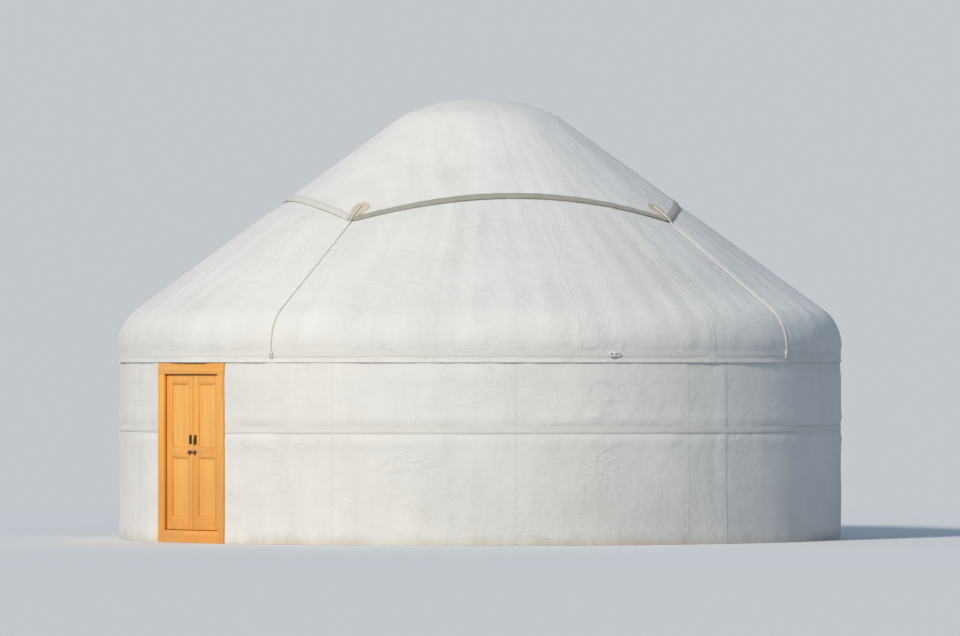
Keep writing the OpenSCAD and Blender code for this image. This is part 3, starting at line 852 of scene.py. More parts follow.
# %% Roof canvas, two halves
ROOF_END_R = 0.83
ROOF_OUTLINE = outline(0.0, SKIRT_Z, ROOF_END_R, 0.035)


def roof_lap(angle, z, tilt):
    lift = LAP_LIFT * fade(abs(angle), QUARTER - 0.6 * LAP_TURN, QUARTER)
    return roof_give(angle, z, tilt) + lift


for name, span, give in (("front", (-QUARTER - LAP_TURN, QUARTER + LAP_TURN), roof_lap),
                         ("back", (QUARTER, 3 * QUARTER), roof_give)):
    piece, flat = make_cover(f"roof_canvas_{name}", ROOF_OUTLINE, span, give, ROOF_STEP,
                             ROOF_CANVAS)
    fan_area(ROOF_OUTLINE, span[1] - span[0])
print("roof canvas laid")

# %% [markdown]
# ## Felts
# Felt is thick and soft. It swells into the lattice's open cells, as a sine across the outer rods
# that it touches, and on the roof it sinks between the poles.

# %% Wall and roof felts
WOOL = ("wool", 0.010, felt_finish, "felt")
FELT_PUFF = 0.0045
FELT_SAG = 0.008
FELT_GAP = 0.0003
WALL_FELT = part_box("wall_felt_1")
FELT_LINE = upright_line(WALL_R - WALL_FELT[1].x, FOOT_Z, WALL_FELT[1].z, 0.033)
FELT_OUTLINE = outline(WALL_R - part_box("roof_felt_back")[1].x, SKIRT_Z, ROOF_END_R, 0.06)


def wall_felt_give(angle, z, tilt):
    column = ((angle - LATTICE_START) % math.tau) / CELL_TURN
    across_rods = column - (z - FOOT_ROW) / ROW_H / 2
    puff = math.sin(math.pi * across_rods) ** 2 * fade(z, 0.02, 0.10) * (1 - fade(z, 1.50, 1.56))
    return -FELT_PUFF * puff * swell(angle, z, 2.0, 2.0, 51.0) ** 0.5


def roof_felt_give(angle, z, tilt):
    return -FELT_SAG * between_poles(angle) * (tilt / TURN) * radius_at(z, tilt) / WALL_R


for i in range(1, 5):
    piece, flat = make_cover(f"wall_felt_{i}", FELT_LINE, node_span(f"wall_felt_{i}"),
                             wall_felt_give, FELT_STEP, WOOL)

for name, start in (("front", -QUARTER), ("back", QUARTER)):
    piece, flat = make_cover(f"roof_felt_{name}", FELT_OUTLINE, (start, start + math.pi),
                             roof_felt_give, ROOF_STEP, WOOL, FELT_GAP)
    fan_area(FELT_OUTLINE, math.pi)
print("felts laid")

# %% [markdown]
# ## A grid bent into shape
# The crown cover, its binding, the bands and the ropes all start as a flat grid. A function says
# where each of its vertices goes, from two numbers between 0 and 1, and another gives its place on
# the flat cloth. A grid whose edges meet after bending is a tube.

# %% Bend a grid
def bent_grid(made, across, along, place, flat):
    """Adds a grid bent by place(u, v), with flat(u, v) as its UV map."""
    cloth = made.loops.layers.uv["cloth"]
    new = bmesh.ops.create_grid(made, x_segments=across, y_segments=along, size=1.0)["verts"]
    spot = {v: ((v.co.x + 1) / 2, (v.co.y + 1) / 2) for v in new}
    for face in {f for v in new for f in v.link_faces}:
        for loop in face.loops:
            loop[cloth].uv = flat(*spot[loop.vert])
    for v, (a, b) in spot.items():
        v.co = place(a, b)
    return new


# %% [markdown]
# ## Crown cover
# From the axis outward the square cloth sags between the crown bars, bends over the ring, and is
# pulled tight toward the four corners where the ropes hold it, with slack and a few soft ridges
# between them. A grid from -1 to 1 is laid over the round plan by its larger coordinate, so that
# its rows run parallel to the hem.

# %% The crown cover's cloth
BAR_SPACING = 0.12
BAR_SAG, CORNER_PULL, ROOF_CLEAR = 0.004, 0.005, 0.003
SLACK, HEM_SLACK, RIDGE, COVER_HOLLOW = 0.006, 0.004, 0.012, 0.002


def cover_give(angle, q, r):
    """Movement of the crown cover along its normal, with q from 0 at the axis to 1 at the hem."""
    x, y = r * math.sin(angle), -r * math.cos(angle)
    bars = max(near(x, k * BAR_SPACING, 0.02) + near(y, k * BAR_SPACING, 0.02) for k in (-1, 0, 1))
    sag = BAR_SAG * (1 - min(1.0, bars)) * (1 - fade(r, 0.45, 0.60))
    pull = near(from_corner(angle) * r, 0.0, 0.05 + 0.12 * (1 - q)) * fade(q, 0.35, 0.8)
    slack = SLACK * noise.noise(Vector((x * 2.3, y * 2.3, 61.0))) * fade(r, 0.6, 1.1)
    slack += HEM_SLACK * max(0.0, noise.noise(Vector((x * 7.0, y * 7.0, 67.0)))) * fade(q, 0.8, 1.0)
    ridge = max(0.0, noise.noise(Vector((5.5 * math.sin(angle), 5.5 * math.cos(angle), 83.0))))
    slack += RIDGE * ridge * fade(r, 0.45, 0.8) * (1 - fade(q, 0.8, 1.0))
    slack -= COVER_HOLLOW * between_poles(angle) * fade(r, 0.75, 1.0)
    return CORNER_PULL * pull + ROOF_CLEAR * fade(r, 0.6, 0.9) - sag + slack * (1 - pull)


def cover_place(angle, q, lift=0.0):
    r = q * cover_reach(angle)
    step = 0.005
    inner, outer = max(0.0, r - step), r + step
    rise = (cover_z(outer) - cover_z(inner)) / (outer - inner)
    out = Vector((-rise, 0, 1)).normalized()
    move = cover_give(angle, min(q, 1.0), r) + lift
    return place_at(angle, r + out.x * move, cover_z(r) + out.z * move)


def square_place(u, v):
    """A point of the square grid as an angle and a share of the reach."""
    x, y = 2 * u - 1, 2 * v - 1
    return CORNER_TURN - QUARTER / 2 + math.atan2(y, x), max(abs(x), abs(y))


made = start_piece()
bent_grid(made, 110, 110, lambda u, v: cover_place(*square_place(u, v)),
          lambda u, v: ((u - 0.5) * 2 * COVER_HALF, v * 2 * COVER_HALF))
bmesh.ops.recalc_face_normals(made, faces=made.faces[:])
face_up(made)
COVER_AREA = sum(f.calc_area() for f in made.faces)
thicken(made, COVER_T)
crown_cloth = store("crown_cover_cloth", made, crown_cloth_finish, "crown_cloth",
                    replaces=["crown_cover"])
print(f"crown cover {COVER_AREA:.2f} square metres")

# %% [markdown]
# ### The dark binding and the corner patches
# A strip of tape is folded over the whole hem, and it is the dark line that draws the crown cover
# from afar, but for the strip over the door, which is painted paler as painted light. At each
# corner a leather patch spreads the rope's pull. Both read the cover's own shape with a small lift,
# and lie on every fold of it.

# %% Binding and patches
BINDING_WIDTH = 0.052
TAPE_T = 0.0016
TAPE_UNDER = -COVER_T - 0.002
BINDING_FOLD = [(BINDING_WIDTH, 0.0004), (BINDING_WIDTH - 0.003, 0.0022), (0.006, 0.0024),
                (-0.0025, -0.001), (-0.003, -COVER_T), (0.004, TAPE_UNDER), (0.016, TAPE_UNDER)]


def binding_place(u, v):
    angle = v * math.tau
    inward, lift = BINDING_FOLD[round(u * (len(BINDING_FOLD) - 1))]
    return cover_place(angle, 1 - inward / cover_reach(angle), lift)


made = start_piece()
bent_grid(made, len(BINDING_FOLD) - 1, 480, binding_place,
          lambda u, v: (v * math.tau * COVER_SIDE, (u - 0.5) * 2 * BINDING_WIDTH))
weld(made)
bmesh.ops.recalc_face_normals(made, faces=made.faces[:])
middles = {f: f.calc_center_median() for f in made.faces}
face_up(made, [f for f, middle in middles.items() if middle.z > cover_z(middle.xy.length)])
thicken(made, TAPE_T)
binding = store("crown_cover_binding", made, trim_finish, "crown_cloth")

PATCH_FROM, PATCH_TO = 0.025, 0.19
PATCH_LIFT, PATCH_T = 0.0022, 0.003
made = start_piece()
for k in range(4):
    middle = CORNER_TURN + k * QUARTER

    def patch_place(u, v, middle=middle):
        back = PATCH_FROM + (PATCH_TO - PATCH_FROM) * v
        half = 0.85 * back * math.cos(0.5 * math.pi * v) ** 0.5 if v < 1 else 0.0
        angle = middle + (2 * u - 1) * half / (COVER_CORNER - back)
        return cover_place(angle, (COVER_CORNER - CORNER_BLUNT - back) / cover_reach(angle), 0.0018)

    bent_grid(made, 8, 10, patch_place, lambda u, v: (u * 0.2, v * 0.15))
weld(made)
face_up(made)
bmesh.ops.translate(made, verts=made.verts[:], vec=(0, 0, PATCH_LIFT))
thicken(made, PATCH_T)
patches = store("crown_corner_patches", made, leather_finish, "crown_cloth")
print("binding and patches sewn on")

# %% [markdown]
# ## Woven bands
# Two girth bands press the canvas to the wall. Each is a flat strip with rounded edges, bent round
# the yurt as a closed tube of eight sides, and rises and falls a few millimetres, as hand-set
# bands do. The upper one is a full ring, and the lower one ends at the door frame.

# %% Bands
BAND_GAP = 0.0003
BAND_T = UPPER_BAND[1].x - WALL_R - BAND_GAP
BAND_SECTION = [(0.0, -0.8), (0.3, -1.0), (0.7, -1.0), (1.0, -0.8),
                (1.0, 0.8), (0.7, 1.0), (0.3, 1.0), (0.0, 0.8)]


def make_band_piece(node, middle_z, start, turn):
    sides = len(BAND_SECTION)

    def place(u, v):
        out, up = BAND_SECTION[round(u * sides) % sides]
        angle = start + turn * v
        rise = 0.004 * cloth_noise(angle, 0.0, 0.5, 1.0, middle_z)
        return place_at(angle, WALL_R + BAND_GAP + BAND_T * out, middle_z + rise + BAND_HALF * up)

    def flat(u, v):
        return v * turn * WALL_R, BAND_SECTION[round(u * sides) % sides][1] * BAND_HALF

    made = start_piece()
    bent_grid(made, sides, 360, place, flat)
    close_seams(made)
    store(f"{node}_weave", made, band_finish, "woven_band", replaces=[node])


DOOR_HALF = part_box("door_jamb_right")[1].x
BESIDE_DOOR = math.asin((DOOR_HALF + 0.002) / WALL_R)
make_band_piece("upper_band", UPPER_BAND_Z, 0.0, math.tau)
make_band_piece("lower_band", LOWER_BAND_Z, BESIDE_DOOR, math.tau - 2 * BESIDE_DOOR)
print("bands set")

# %% [markdown]
# ## Laid rope and lashings
# A rope is two strands wound round each other. Each strand is a grid bent into a tube whose middle
# winds round the path. All the paths are flat curves, so one fixed direction across the curve is
# enough to steer the tubes. A lashing is a closed oval of one such tube.

# %% Rope along a flat curve
class Path:
    """A curve through points that lie in one plane, measured by its length."""

    def __init__(self, points, across, closed=False):
        self.across = across.normalized()
        self.points = [*points, points[0]] if closed else points
        first, last = (self.points[-2], points[1]) if closed else (points[0], points[-1])
        self.marks = [0.0]
        for a, b in zip(self.points, self.points[1:]):
            self.marks.append(self.marks[-1] + (b - a).length)
        self.length = self.marks[-1]
        pairs = zip([first, *self.points], [*self.points[1:], last])
        self.ways = [(after - before).normalized() for before, after in pairs]

    def at(self, distance):
        """The point at a distance along the curve, and the direction square to it in its plane."""
        i = min(bisect(self.marks, distance), len(self.marks) - 1)
        share = (distance - self.marks[i - 1]) / (self.marks[i] - self.marks[i - 1])
        way = self.ways[i - 1].lerp(self.ways[i], share).normalized()
        return self.points[i - 1].lerp(self.points[i], share), self.across.cross(way)


def add_strand(made, path, radius, sides, rings, off_centre=0.0, start=0.0):
    """Adds a tube along a path. A rope's strand winds round the path, off its centre."""
    def around(normal, turn, distance):
        return (normal * math.cos(turn) + path.across * math.sin(turn)) * distance

    def place(u, v):
        middle, normal = path.at(v * path.length)
        wind = math.tau * (v * path.length / ROPE_PITCH + start)
        return middle + around(normal, wind, off_centre) + around(normal, math.tau * u, radius)

    bent_grid(made, sides, rings, place, lambda u, v: (u * math.tau * radius, v * path.length))


def add_oval(made, centre, side_a, side_b, radius, sides=5, rings=14):
    """Adds one closed turn of cord round an oval with two half-axes."""
    turns = [math.tau * i / rings for i in range(rings)]
    points = [centre + side_a * math.cos(a) + side_b * math.sin(a) for a in turns]
    add_strand(made, Path(points, side_a.cross(side_b), closed=True), radius, sides, rings)


# %% [markdown]
# ## The crown cover's ropes
# From under each leather patch a rope runs down over the hem, the roof and the shoulder, and is
# hitched on the upper band. Its path is worked out in its own upright plane.

# %% Ropes and hitches
ROPE_R, ROPE_PITCH = 0.0062, 0.034
ROPE_START_R = COVER_CORNER - 0.15
HEM_DROP = 0.045
HITCH_R, HITCH_TURN = 0.0055, 0.0042


def rope_outline():
    """Points (r, z) of a rope's middle from the crown cover's corner to the upper band."""
    lift = ROPE_R + 0.0005
    held = (ROPE_START_R, ROPE_START_R + 0.04, ROPE_START_R + 0.08, COVER_CORNER - 0.03)
    on_cover = [(r, roof_z(r, -COVER_LIFT - 0.011 - lift)) for r in held]
    start = COVER_CORNER + HEM_DROP
    bend = SHOULDER_BEND + lift
    end_r = SHOULDER_R + bend * math.cos(TURN)
    radii = [start + (end_r - start) * i / 12 for i in range(12)]
    turns = [TURN * (1 - i / 14) for i in range(15)]
    over = [(SHOULDER_R + bend * math.cos(a), SHOULDER_Z + bend * math.sin(a)) for a in turns]
    r, band_top = WALL_R + lift, UPPER_BAND_Z + BAND_HALF
    down = [(r, band_top + 0.02), (r + BAND_T * 0.6, band_top + 0.006),
            (r + BAND_T, band_top - 0.004), (r + BAND_T, band_top - 0.02)]
    return on_cover + [(r, roof_z(r, -lift)) for r in radii] + over + down


made = start_piece()
for angle in (CORNER_TURN + k * QUARTER for k in range(4)):
    out, beside = sides_at(angle)
    rope = Path([place_at(angle, r, z) for r, z in rope_outline()], beside)
    rings = round(rope.length / (ROPE_PITCH / 8))
    for start in (0.0, 0.5):
        add_strand(made, rope, ROPE_R / 2, 6, rings, ROPE_R / 2, start)
    upward = Vector((0, 0, BAND_HALF + ROPE_R))
    for turn in (-1, 0, 1):
        centre = place_at(angle + turn * HITCH_TURN, WALL_R + BAND_T / 2 + 0.001, UPPER_BAND_Z)
        add_oval(made, centre, out * (BAND_T / 2 + ROPE_R), upward, HITCH_R, 7, 20)
    knot = place_at(angle, WALL_R + BAND_T + 0.011, UPPER_BAND_Z + 0.006)
    add_oval(made, knot, beside * 0.017, Vector((0, 0, 0.008)), HITCH_R, 7, 16)
close_seams(made)
store("crown_ties_rope", made, rope_finish, "rope", replaces=["crown_ties"])
print("ropes laid")

# %% [markdown]
# ### The knot in the upper band
# The upper band's two ends meet to the right of the door and are tied. Two ovals that pass through
# each other, each as thick as a folded band, are the knot's shape.

# %% Band knot
KNOT_ANGLE, KNOT_HALF = math.radians(73), 0.017
out, beside = sides_at(KNOT_ANGLE)
made = start_piece()
for side in (-1, 1):
    centre = place_at(KNOT_ANGLE + side * KNOT_HALF / WALL_R, WALL_R + BAND_T + 0.010, UPPER_BAND_Z)
    lean = (Vector((0, 0, 1)) * 0.8 + out * 0.25 * side).normalized()
    add_oval(made, centre, beside * (KNOT_HALF * 1.7), lean * 0.014, 0.0075, 8, 22)
close_seams(made)
store("upper_band_knot", made, band_finish, "woven_band")

# %% [markdown]
# ## Rawhide and cord in the lattice
# Each crossing is pinned with a knotted thong of rawhide, seen from the inside as a low bead.
# Where two sections meet, and where they meet the door frame, cord is wound round the crossed
# rods. At each head a cord holds a roof pole. There are hundreds of them, so each has only a few
# dozen faces.

# %% Rawhide beads
BEAD_R, BEAD_RISE = 0.0075, 0.005


def crossing(column, row, r):
    """A place on the lattice, with columns counted through all the sections."""
    return place_at(LATTICE_START + CELL_TURN * column, r, FOOT_ROW + ROW_H * row)


def add_bead(made, column, row):
    inward = -place_at(LATTICE_START + CELL_TURN * column, 1, 0)
    turned = inward.to_track_quat("Z", "Y").to_matrix()
    new = bmesh.ops.create_uvsphere(made, u_segments=8, v_segments=6, radius=BEAD_R)["verts"]
    bmesh.ops.scale(made, vec=(1, 1, BEAD_RISE / BEAD_R), verts=new)
    bmesh.ops.rotate(made, cent=(0, 0, 0), matrix=turned, verts=new)
    bmesh.ops.translate(made, vec=crossing(column, row, LATTICE_IN), verts=new)


for i in SECTIONS:
    made = start_piece()
    for row in range(ROWS + 1):
        odd = row % 2
        for column in range(0 if odd else 1, CELLS):
            add_bead(made, (i - 1) * CELLS + column + 0.5 * odd, row)
    store(f"lattice_{i}_rawhide", made, rawhide_finish, "lattice_wood")
print("lattice pinned")

# %% Lashings between sections and at the door frame
CORD_R = 0.0028
CORD_STEP = 2.1 * CORD_R
ROD_HALF = 0.014
END_SHIFT = {0: 0.06, 6: -0.06}
made = start_piece()
for joint in range(7):
    column = joint * CELLS + END_SHIFT.get(joint, 0)
    out, beside = sides_at(LATTICE_START + CELL_TURN * column)
    for row in range(0, ROWS, 2):
        centre = crossing(column, row, LATTICE_MID)
        for lean in (-1, 1):
            along = beside * math.cos(ROD_SLOPE) + Vector((0, 0, lean * math.sin(ROD_SLOPE)))
            over = out.cross(along)
            for turn in (-1, 0, 1):
                add_oval(made, centre + along * turn * CORD_STEP, out * (ROD_T + CORD_R),
                         over * (ROD_HALF + 2 * CORD_R), CORD_R, 5, 12)
close_seams(made)
store("section_lashings", made, rope_finish, "rope")

# %% Lashings at the heads and in the crown
POLE_LASH_R = (LATTICE_IN - 0.0178 + LATTICE_MID) / 2 - 0.008
POLE_LASH_DEEP, POLE_LASH_WIDE = 0.0275, 0.0225
BAR_LASH_WIDE, BAR_LASH_HIGH = 0.0195, 0.0222
made = start_piece()
for angle in WALL_POLES:
    out, beside = sides_at(angle)
    for turn in (-1, 0, 1):
        slant = Vector((0, 0, 0.003 * turn))
        centre = place_at(angle, POLE_LASH_R, HEAD_ROW + CORD_STEP * turn)
        add_oval(made, centre, out * POLE_LASH_DEEP + slant, beside * POLE_LASH_WIDE, CORD_R)
close_seams(made)
store("pole_lashings", made, rope_finish, "rope")

BAR_ARC_R = 1.238
BAR_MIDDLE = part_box("crown_bars_upper")[1].z - 0.020
made = start_piece()
for x in (-BAR_SPACING, 0.0, BAR_SPACING):
    for y in (-BAR_SPACING, 0.0, BAR_SPACING):
        drop = BAR_ARC_R - math.sqrt(BAR_ARC_R ** 2 - x * x - y * y)
        centre = Vector((x, y, BAR_MIDDLE - drop))
        for lean in (-1, 1):
            flat_way = Vector((1, lean, 0)).normalized()
            for turn in (-0.5, 0.5):
                shift = Vector((-lean, 1, 0)).normalized() * 2.2 * CORD_R * turn
                add_oval(made, centre + shift, flat_way * BAR_LASH_WIDE,
                         Vector((0, 0, BAR_LASH_HIGH)), CORD_R)
close_seams(made)
store("crown_lashings", made, rope_finish, "rope")
print("lashings tied")

# %% [markdown]
# ## The door's joinery
# Every member of the door is a sawn length with its sharp edges planed off, and its grain runs
# along it. One helper scales and places a cube, bevels its edges and lays the UV map along its
# longest side. A leaf's members are joined in one mesh, and the fine grooves where they meet are
# the bevels.

# %% A sawn member
ARRIS = 0.0018
SHARP = math.radians(60)
BEVEL = {"profile": 0.5, "affect": "EDGES", "material": -1}


def add_member(made, low, high, round_x=0.0, arris=ARRIS):
    """Adds a length of wood between two corners. round_x rounds its upright edges on that side."""
    cloth = made.loops.layers.uv["cloth"]
    low, high = Vector(map(min, low, high)), Vector(map(max, low, high))
    size, middle = high - low, (low + high) / 2
    before = set(made.faces)
    new = bmesh.ops.create_cube(made, size=1.0)["verts"]
    bmesh.ops.scale(made, vec=size, verts=new)
    bmesh.ops.translate(made, vec=middle, verts=new)
    if round_x:
        side = [e for e in {e for v in new for e in v.link_edges}
                if all((v.co.x - middle.x) * round_x > 0 for v in e.verts)
                and abs(e.verts[0].co.z - e.verts[1].co.z) > size.z / 2]
        bmesh.ops.bevel(made, geom=side, offset=0.46 * size.y, segments=6, **BEVEL)
    faces = [f for f in made.faces if f not in before]
    sharp = [e for e in {e for f in faces for e in f.edges} if e.calc_face_angle() > SHARP]
    bmesh.ops.bevel(made, geom=sharp, offset=arris, segments=2, **BEVEL)
    long_way = max(range(3), key=lambda k: size[k])
    across, up = (k for k in range(3) if k != long_way)
    start = 7.3 * middle.x + 3.1 * middle.z  # gives each member another stretch of the grain
    for face in (f for f in made.faces if f not in before):
        for loop in face.loops:
            co = loop.vert.co
            loop[cloth].uv = (co[long_way] + start, co[across] + co[up] + start)


# %% Door frame
THRESHOLD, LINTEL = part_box("door_threshold"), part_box("door_lintel")
FRAME_FRONT, FRAME_BACK = LINTEL[0].y, LINTEL[1].y
LINTEL_Z, FRAME_TOP = LINTEL[0].z, LINTEL[1].z
OPENING_HALF, THRESHOLD_TOP = THRESHOLD[1].x, THRESHOLD[1].z
STOP_D = 0.022
STOP_EDGE = -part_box("door_jamb_left")[1].x
FRAME_ARRIS, WORN_ARRIS = 0.003, 0.005


def store_wood(node, made, finish=door_finish, slot="door_wood", body="house"):
    store(f"{node}_wood", made, finish, slot, body, [node])


made = start_piece()
add_member(made, (-OPENING_HALF, FRAME_FRONT, 0.0), (OPENING_HALF, FRAME_BACK, THRESHOLD_TOP),
           arris=WORN_ARRIS)
store_wood("door_threshold", made)
made = start_piece()
add_member(made, (-DOOR_HALF, FRAME_FRONT, LINTEL_Z), (DOOR_HALF, FRAME_BACK, FRAME_TOP),
           arris=FRAME_ARRIS)
store_wood("door_lintel", made)
for name, side in (("left", -1), ("right", 1)):
    made = start_piece()
    add_member(made, (side * OPENING_HALF, FRAME_FRONT, 0.0),
               (side * DOOR_HALF, FRAME_BACK, LINTEL_Z), arris=FRAME_ARRIS)
    add_member(made, (side * STOP_EDGE, FRAME_FRONT + 0.001, THRESHOLD_TOP),
               (side * (OPENING_HALF + 0.001), FRAME_FRONT + STOP_D, LINTEL_Z))
    store_wood(f"door_jamb_{name}", made)
print("door frame made")

# %% [markdown]
# ## The leaves
# A leaf is a frame of two stiles and three rails round two raised panels. It turns on round pins,
# so its hinge stile has a round back. The beads round the panels hide the groove that the panel
# moves in. Each leaf's pieces ride on that leaf's body, and open with it.

# %% Leaves
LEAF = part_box("door_leaf_left")
LEAF_T, LEAF_Y = LEAF[1].y - LEAF[0].y, (LEAF[1].y + LEAF[0].y) / 2
LEAF_FRONT, LEAF_BACK = LEAF_Y - LEAF_T / 2, LEAF_Y + LEAF_T / 2
LEAF_LOW, LEAF_HIGH = THRESHOLD_TOP + 0.005, LINTEL_Z - 0.005
PIN_R = 0.011
HINGE_X, MEETING_X = -LEAF[0].x - LEAF_T / 2, -LEAF[1].x
STILE_W, BEAD_W, BEAD_T = 0.062, 0.009, 0.010
BEAD_INSET = 0.004
RAILS = [(LEAF_LOW, LEAF_LOW + 0.110), (0.695, 0.775), (LEAF_HIGH - 0.070, LEAF_HIGH)]
PANEL_X = (MEETING_X + STILE_W, HINGE_X - STILE_W)
PANEL_Z = [(low, high) for (_, low), (high, _) in zip(RAILS, RAILS[1:])]


def make_leaf(name, side):
    made = start_piece()

    def member(x0, x1, z0, z1, y0=LEAF_FRONT, y1=LEAF_BACK, round_x=0.0):
        add_member(made, (side * x0, y0, z0), (side * x1, y1, z1), round_x)

    member(PANEL_X[1], HINGE_X + LEAF_T / 2, LEAF_LOW, LEAF_HIGH, round_x=side)
    member(MEETING_X, PANEL_X[0], LEAF_LOW, LEAF_HIGH)
    for rail in RAILS:
        member(*PANEL_X, *rail)
    for low, high in PANEL_Z:
        for y in (LEAF_FRONT + BEAD_INSET, LEAF_BACK - BEAD_INSET - BEAD_T):
            for x in (PANEL_X[0], PANEL_X[1] - BEAD_W):
                member(x, x + BEAD_W, low, high, y, y + BEAD_T)
            for z in (low, high - BEAD_W):
                member(PANEL_X[0] + BEAD_W, PANEL_X[1] - BEAD_W, z, z + BEAD_W, y, y + BEAD_T)
    pin = bmesh.ops.create_cone(made, cap_ends=True, segments=24, radius1=PIN_R, radius2=PIN_R,
                                depth=LEAF[1].z - LEAF[0].z)["verts"]
    bmesh.ops.translate(made, vec=(side * HINGE_X, LEAF_Y, (LEAF[0].z + LEAF[1].z) / 2), verts=pin)
    store_wood(f"door_leaf_{name}", made, body=f"{name}_leaf")


# %% Panels
PANEL_EDGE, PANEL_T, PANEL_BEVEL = 0.010, 0.022, 0.034
GROOVE = 0.0097


def add_panel(made, side, low_z, high_z):
    """A plate whose faces are inset once for the groove and once more, outward, for the field."""
    cloth = made.loops.layers.uv["cloth"]
    before = set(made.faces)
    new = bmesh.ops.create_cube(made, size=1.0)["verts"]
    size = Vector((PANEL_X[1] - PANEL_X[0] + 2 * GROOVE, PANEL_EDGE, high_z - low_z + 2 * GROOVE))
    bmesh.ops.scale(made, vec=size, verts=new)
    middle = (side * sum(PANEL_X) / 2, LEAF_Y, (low_z + high_z) / 2)
    bmesh.ops.translate(made, vec=middle, verts=new)
    made.normal_update()
    for way in (-1, 1):
        face = [f for f in made.faces if f not in before and f.normal.y * way > 0.9
                and f.calc_area() > 0.5 * size.x * size.z]
        for inset in (GROOVE + BEAD_W, PANEL_BEVEL - BEAD_W):
            bmesh.ops.inset_region(made, faces=face, thickness=inset, use_even_offset=True)
        bmesh.ops.translate(made, vec=(0, way * (PANEL_T - PANEL_EDGE) / 2, 0),
                            verts=list({v for f in face for v in f.verts}))
    for face in (f for f in made.faces if f not in before):
        for loop in face.loops:
            loop[cloth].uv = (loop.vert.co.z + 2.7 * side, loop.vert.co.x + loop.vert.co.y)


def make_panels(name, side):
    made = start_piece()
    for low, high in PANEL_Z:
        add_panel(made, side, low, high)
    store_wood(f"door_panels_{name}", made, panel_finish, "door_panel_wood", f"{name}_leaf")


# %% [markdown]
# ## The iron latch
# A hasp plate is nailed on each leaf's meeting stile above the knobs, and a ring hangs in the
# right one. The plates are thin members with domed nail heads, and the ring is a closed oval.

# %% Latch plates and ring
PLATE_LOW, PLATE_HIGH = 0.80, 0.875
PLATE_INSET, PLATE_T = 0.014, 0.003
NAIL_R, EYE_R, RING_HALF = 0.0035, 0.008, 0.019


def make_plate(name, side):
    made = start_piece()
    face = LEAF_FRONT - PLATE_T
    x0, x1 = side * (MEETING_X + PLATE_INSET), side * (MEETING_X + STILE_W - PLATE_INSET)
    add_member(made, (x0, face, PLATE_LOW), (x1, LEAF_FRONT + 0.001, PLATE_HIGH), arris=0.001)
    for z in (PLATE_LOW + 0.009, PLATE_HIGH - 0.009):
        for x in (x0 + side * 0.008, x1 - side * 0.008):
            nail = bmesh.ops.create_uvsphere(made, u_segments=10, v_segments=6, radius=NAIL_R)
            bmesh.ops.translate(made, vec=(x, face, z), verts=nail["verts"])
    middle = Vector(((x0 + x1) / 2, LEAF_FRONT - 0.006, (PLATE_LOW + PLATE_HIGH) / 2))
    add_oval(made, middle, Vector((0, EYE_R, 0)), Vector((0, 0, EYE_R)), 0.0022, 8, 16)
    if side > 0:
        ring = middle + Vector((0, -0.005, -0.020))
        add_oval(made, ring, Vector((RING_HALF, 0, 0)), Vector((0, 0, RING_HALF)), 0.0026, 8, 28)
    weld(made)
    bmesh.ops.recalc_face_normals(made, faces=made.faces[:])
    store(f"door_latch_{name}", made, iron_finish, "knob_wood", f"{name}_leaf")


for name, side in (("left", -1), ("right", 1)):
    make_leaf(name, side)
    make_panels(name, side)
    make_plate(name, side)
print("door hung")

# %% [markdown]
# ## The stage, the light and the camera
# A pale floor and a pale backdrop stay out of the yurt's way. Both show the camera one flat pale
# colour, but the floor gives back less light than it shows, and it keeps only the shadow close to
# the yurt. One soft sun stands to the left of the camera, as it did for the photograph, so the
# wall turns from bright to a cool shade at the right. The camera looks from 52 degrees to the
# door's right, at eye height, through a long lens, because the photograph was taken from far away.

# %% Floor and backdrop
BACKDROP = (0.55, 0.58, 0.61)
FLOOR = (0.70, 0.705, 0.70)
GROUND_BOUNCE = (0.47, 0.48, 0.48)
FLOOR_R = 400.0
FLOOR_FADES = (5.0, 16.0)
SKY_LIGHT, SKY_STRENGTH = (0.54, 0.73, 1.0), 0.44


def seen_by_eye(finish_like):
    """1 for what the camera sees, straight or by reflection or through glass, and 0 for light."""
    rays = finish_like.node("LightPath").socket.node.outputs
    straight, glossy, clear = (Wire(finish_like, rays[name]) for name in
                               ("Is Camera Ray", "Is Glossy Ray", "Is Transmission Ray"))
    return (straight + glossy + clear).clamped(0.0, 1.0)


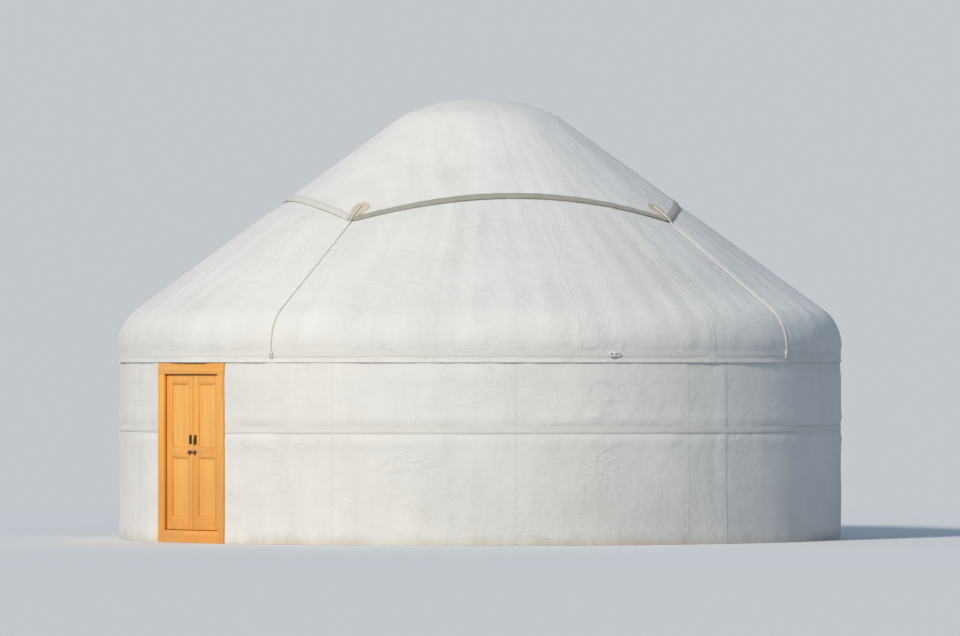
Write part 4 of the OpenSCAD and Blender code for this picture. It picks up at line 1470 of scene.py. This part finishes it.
def make_floor():
    made = bmesh.new()
    bmesh.ops.create_circle(made, cap_ends=True, segments=96, radius=FLOOR_R)
    floor = placed("floor", mesh_of("floor", made))
    pale = Finish("pale_floor")
    pale.shade(pale.mix(seen_by_eye(pale), GROUND_BOUNCE, FLOOR), 0.95)
    x, y = (pale.place().part(name) for name in "XY")
    distance = (x.maths("POWER", 2) + y.maths("POWER", 2)).maths("SQRT")
    away = distance.clamped(*FLOOR_FADES) * seen_by_eye(pale)
    glow = pale.node("Emission", {}, {"Color": (*BACKDROP, 1), "Strength": 1.0})
    lit = Wire(pale, pale.shader.outputs[0])
    blend = pale.node("MixShader", {}, {0: away, 1: lit, 2: glow})
    pale.tree.links.new(blend.socket, pale.tree.nodes["Material Output"].inputs["Surface"])
    floor.data.materials.append(pale.material)
    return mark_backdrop(floor)


class Sky(Finish):
    """The world's nodes, built up the same way."""

    def __init__(self, world):
        world.use_nodes = True
        self.tree = world.node_tree


make_floor()
world = bpy.data.worlds.new("sky")
bpy.context.scene.world = world
sky = Sky(world)
light = sky.node("Background", {}, {"Color": (*SKY_LIGHT, 1), "Strength": SKY_STRENGTH})
backdrop = sky.node("Background", {}, {"Color": (*BACKDROP, 1), "Strength": 1.0})
shown = sky.node("MixShader", {}, {0: seen_by_eye(sky), 1: light, 2: backdrop})
sky.tree.links.new(shown.socket, sky.tree.nodes["World Output"].inputs["Surface"])

# %% Sun
SUN_ANGLE, SUN_ELEVATION = math.radians(19), math.radians(31)


def turn_to(thing, direction, axis):
    """Turns a light or a camera so that one of its axes has this direction."""
    thing.rotation_mode = "QUATERNION"
    thing.rotation_quaternion = direction.to_track_quat(axis, "Y")


sun_data = bpy.data.lights.new("sun", "SUN")
sun_data.energy = 3.0
sun_data.angle = math.radians(7)
sun_data.color = (1.0, 0.93, 0.83)
sunward = place_at(SUN_ANGLE, math.cos(SUN_ELEVATION), math.sin(SUN_ELEVATION))
turn_to(placed("sun", sun_data), sunward, "Z")
bpy.context.scene.view_settings.view_transform = "Standard"

# %% Camera
CAMERA_ANGLE = math.radians(52)
CAMERA_DISTANCE = 72.0
EYE_HEIGHT = 1.5
VIEW_WIDTH = 8.0
camera_data = bpy.data.cameras.new("camera")
camera_data.sensor_width = 36.0
camera_data.lens = camera_data.sensor_width * CAMERA_DISTANCE / VIEW_WIDTH
camera_data.clip_end = 2000.0
camera = placed("camera", camera_data)
camera.location = place_at(CAMERA_ANGLE, CAMERA_DISTANCE, EYE_HEIGHT)
turn_to(camera, Vector((0, 0, cad_high.z / 2)) - camera.location, "-Z")
bpy.context.scene.camera = camera
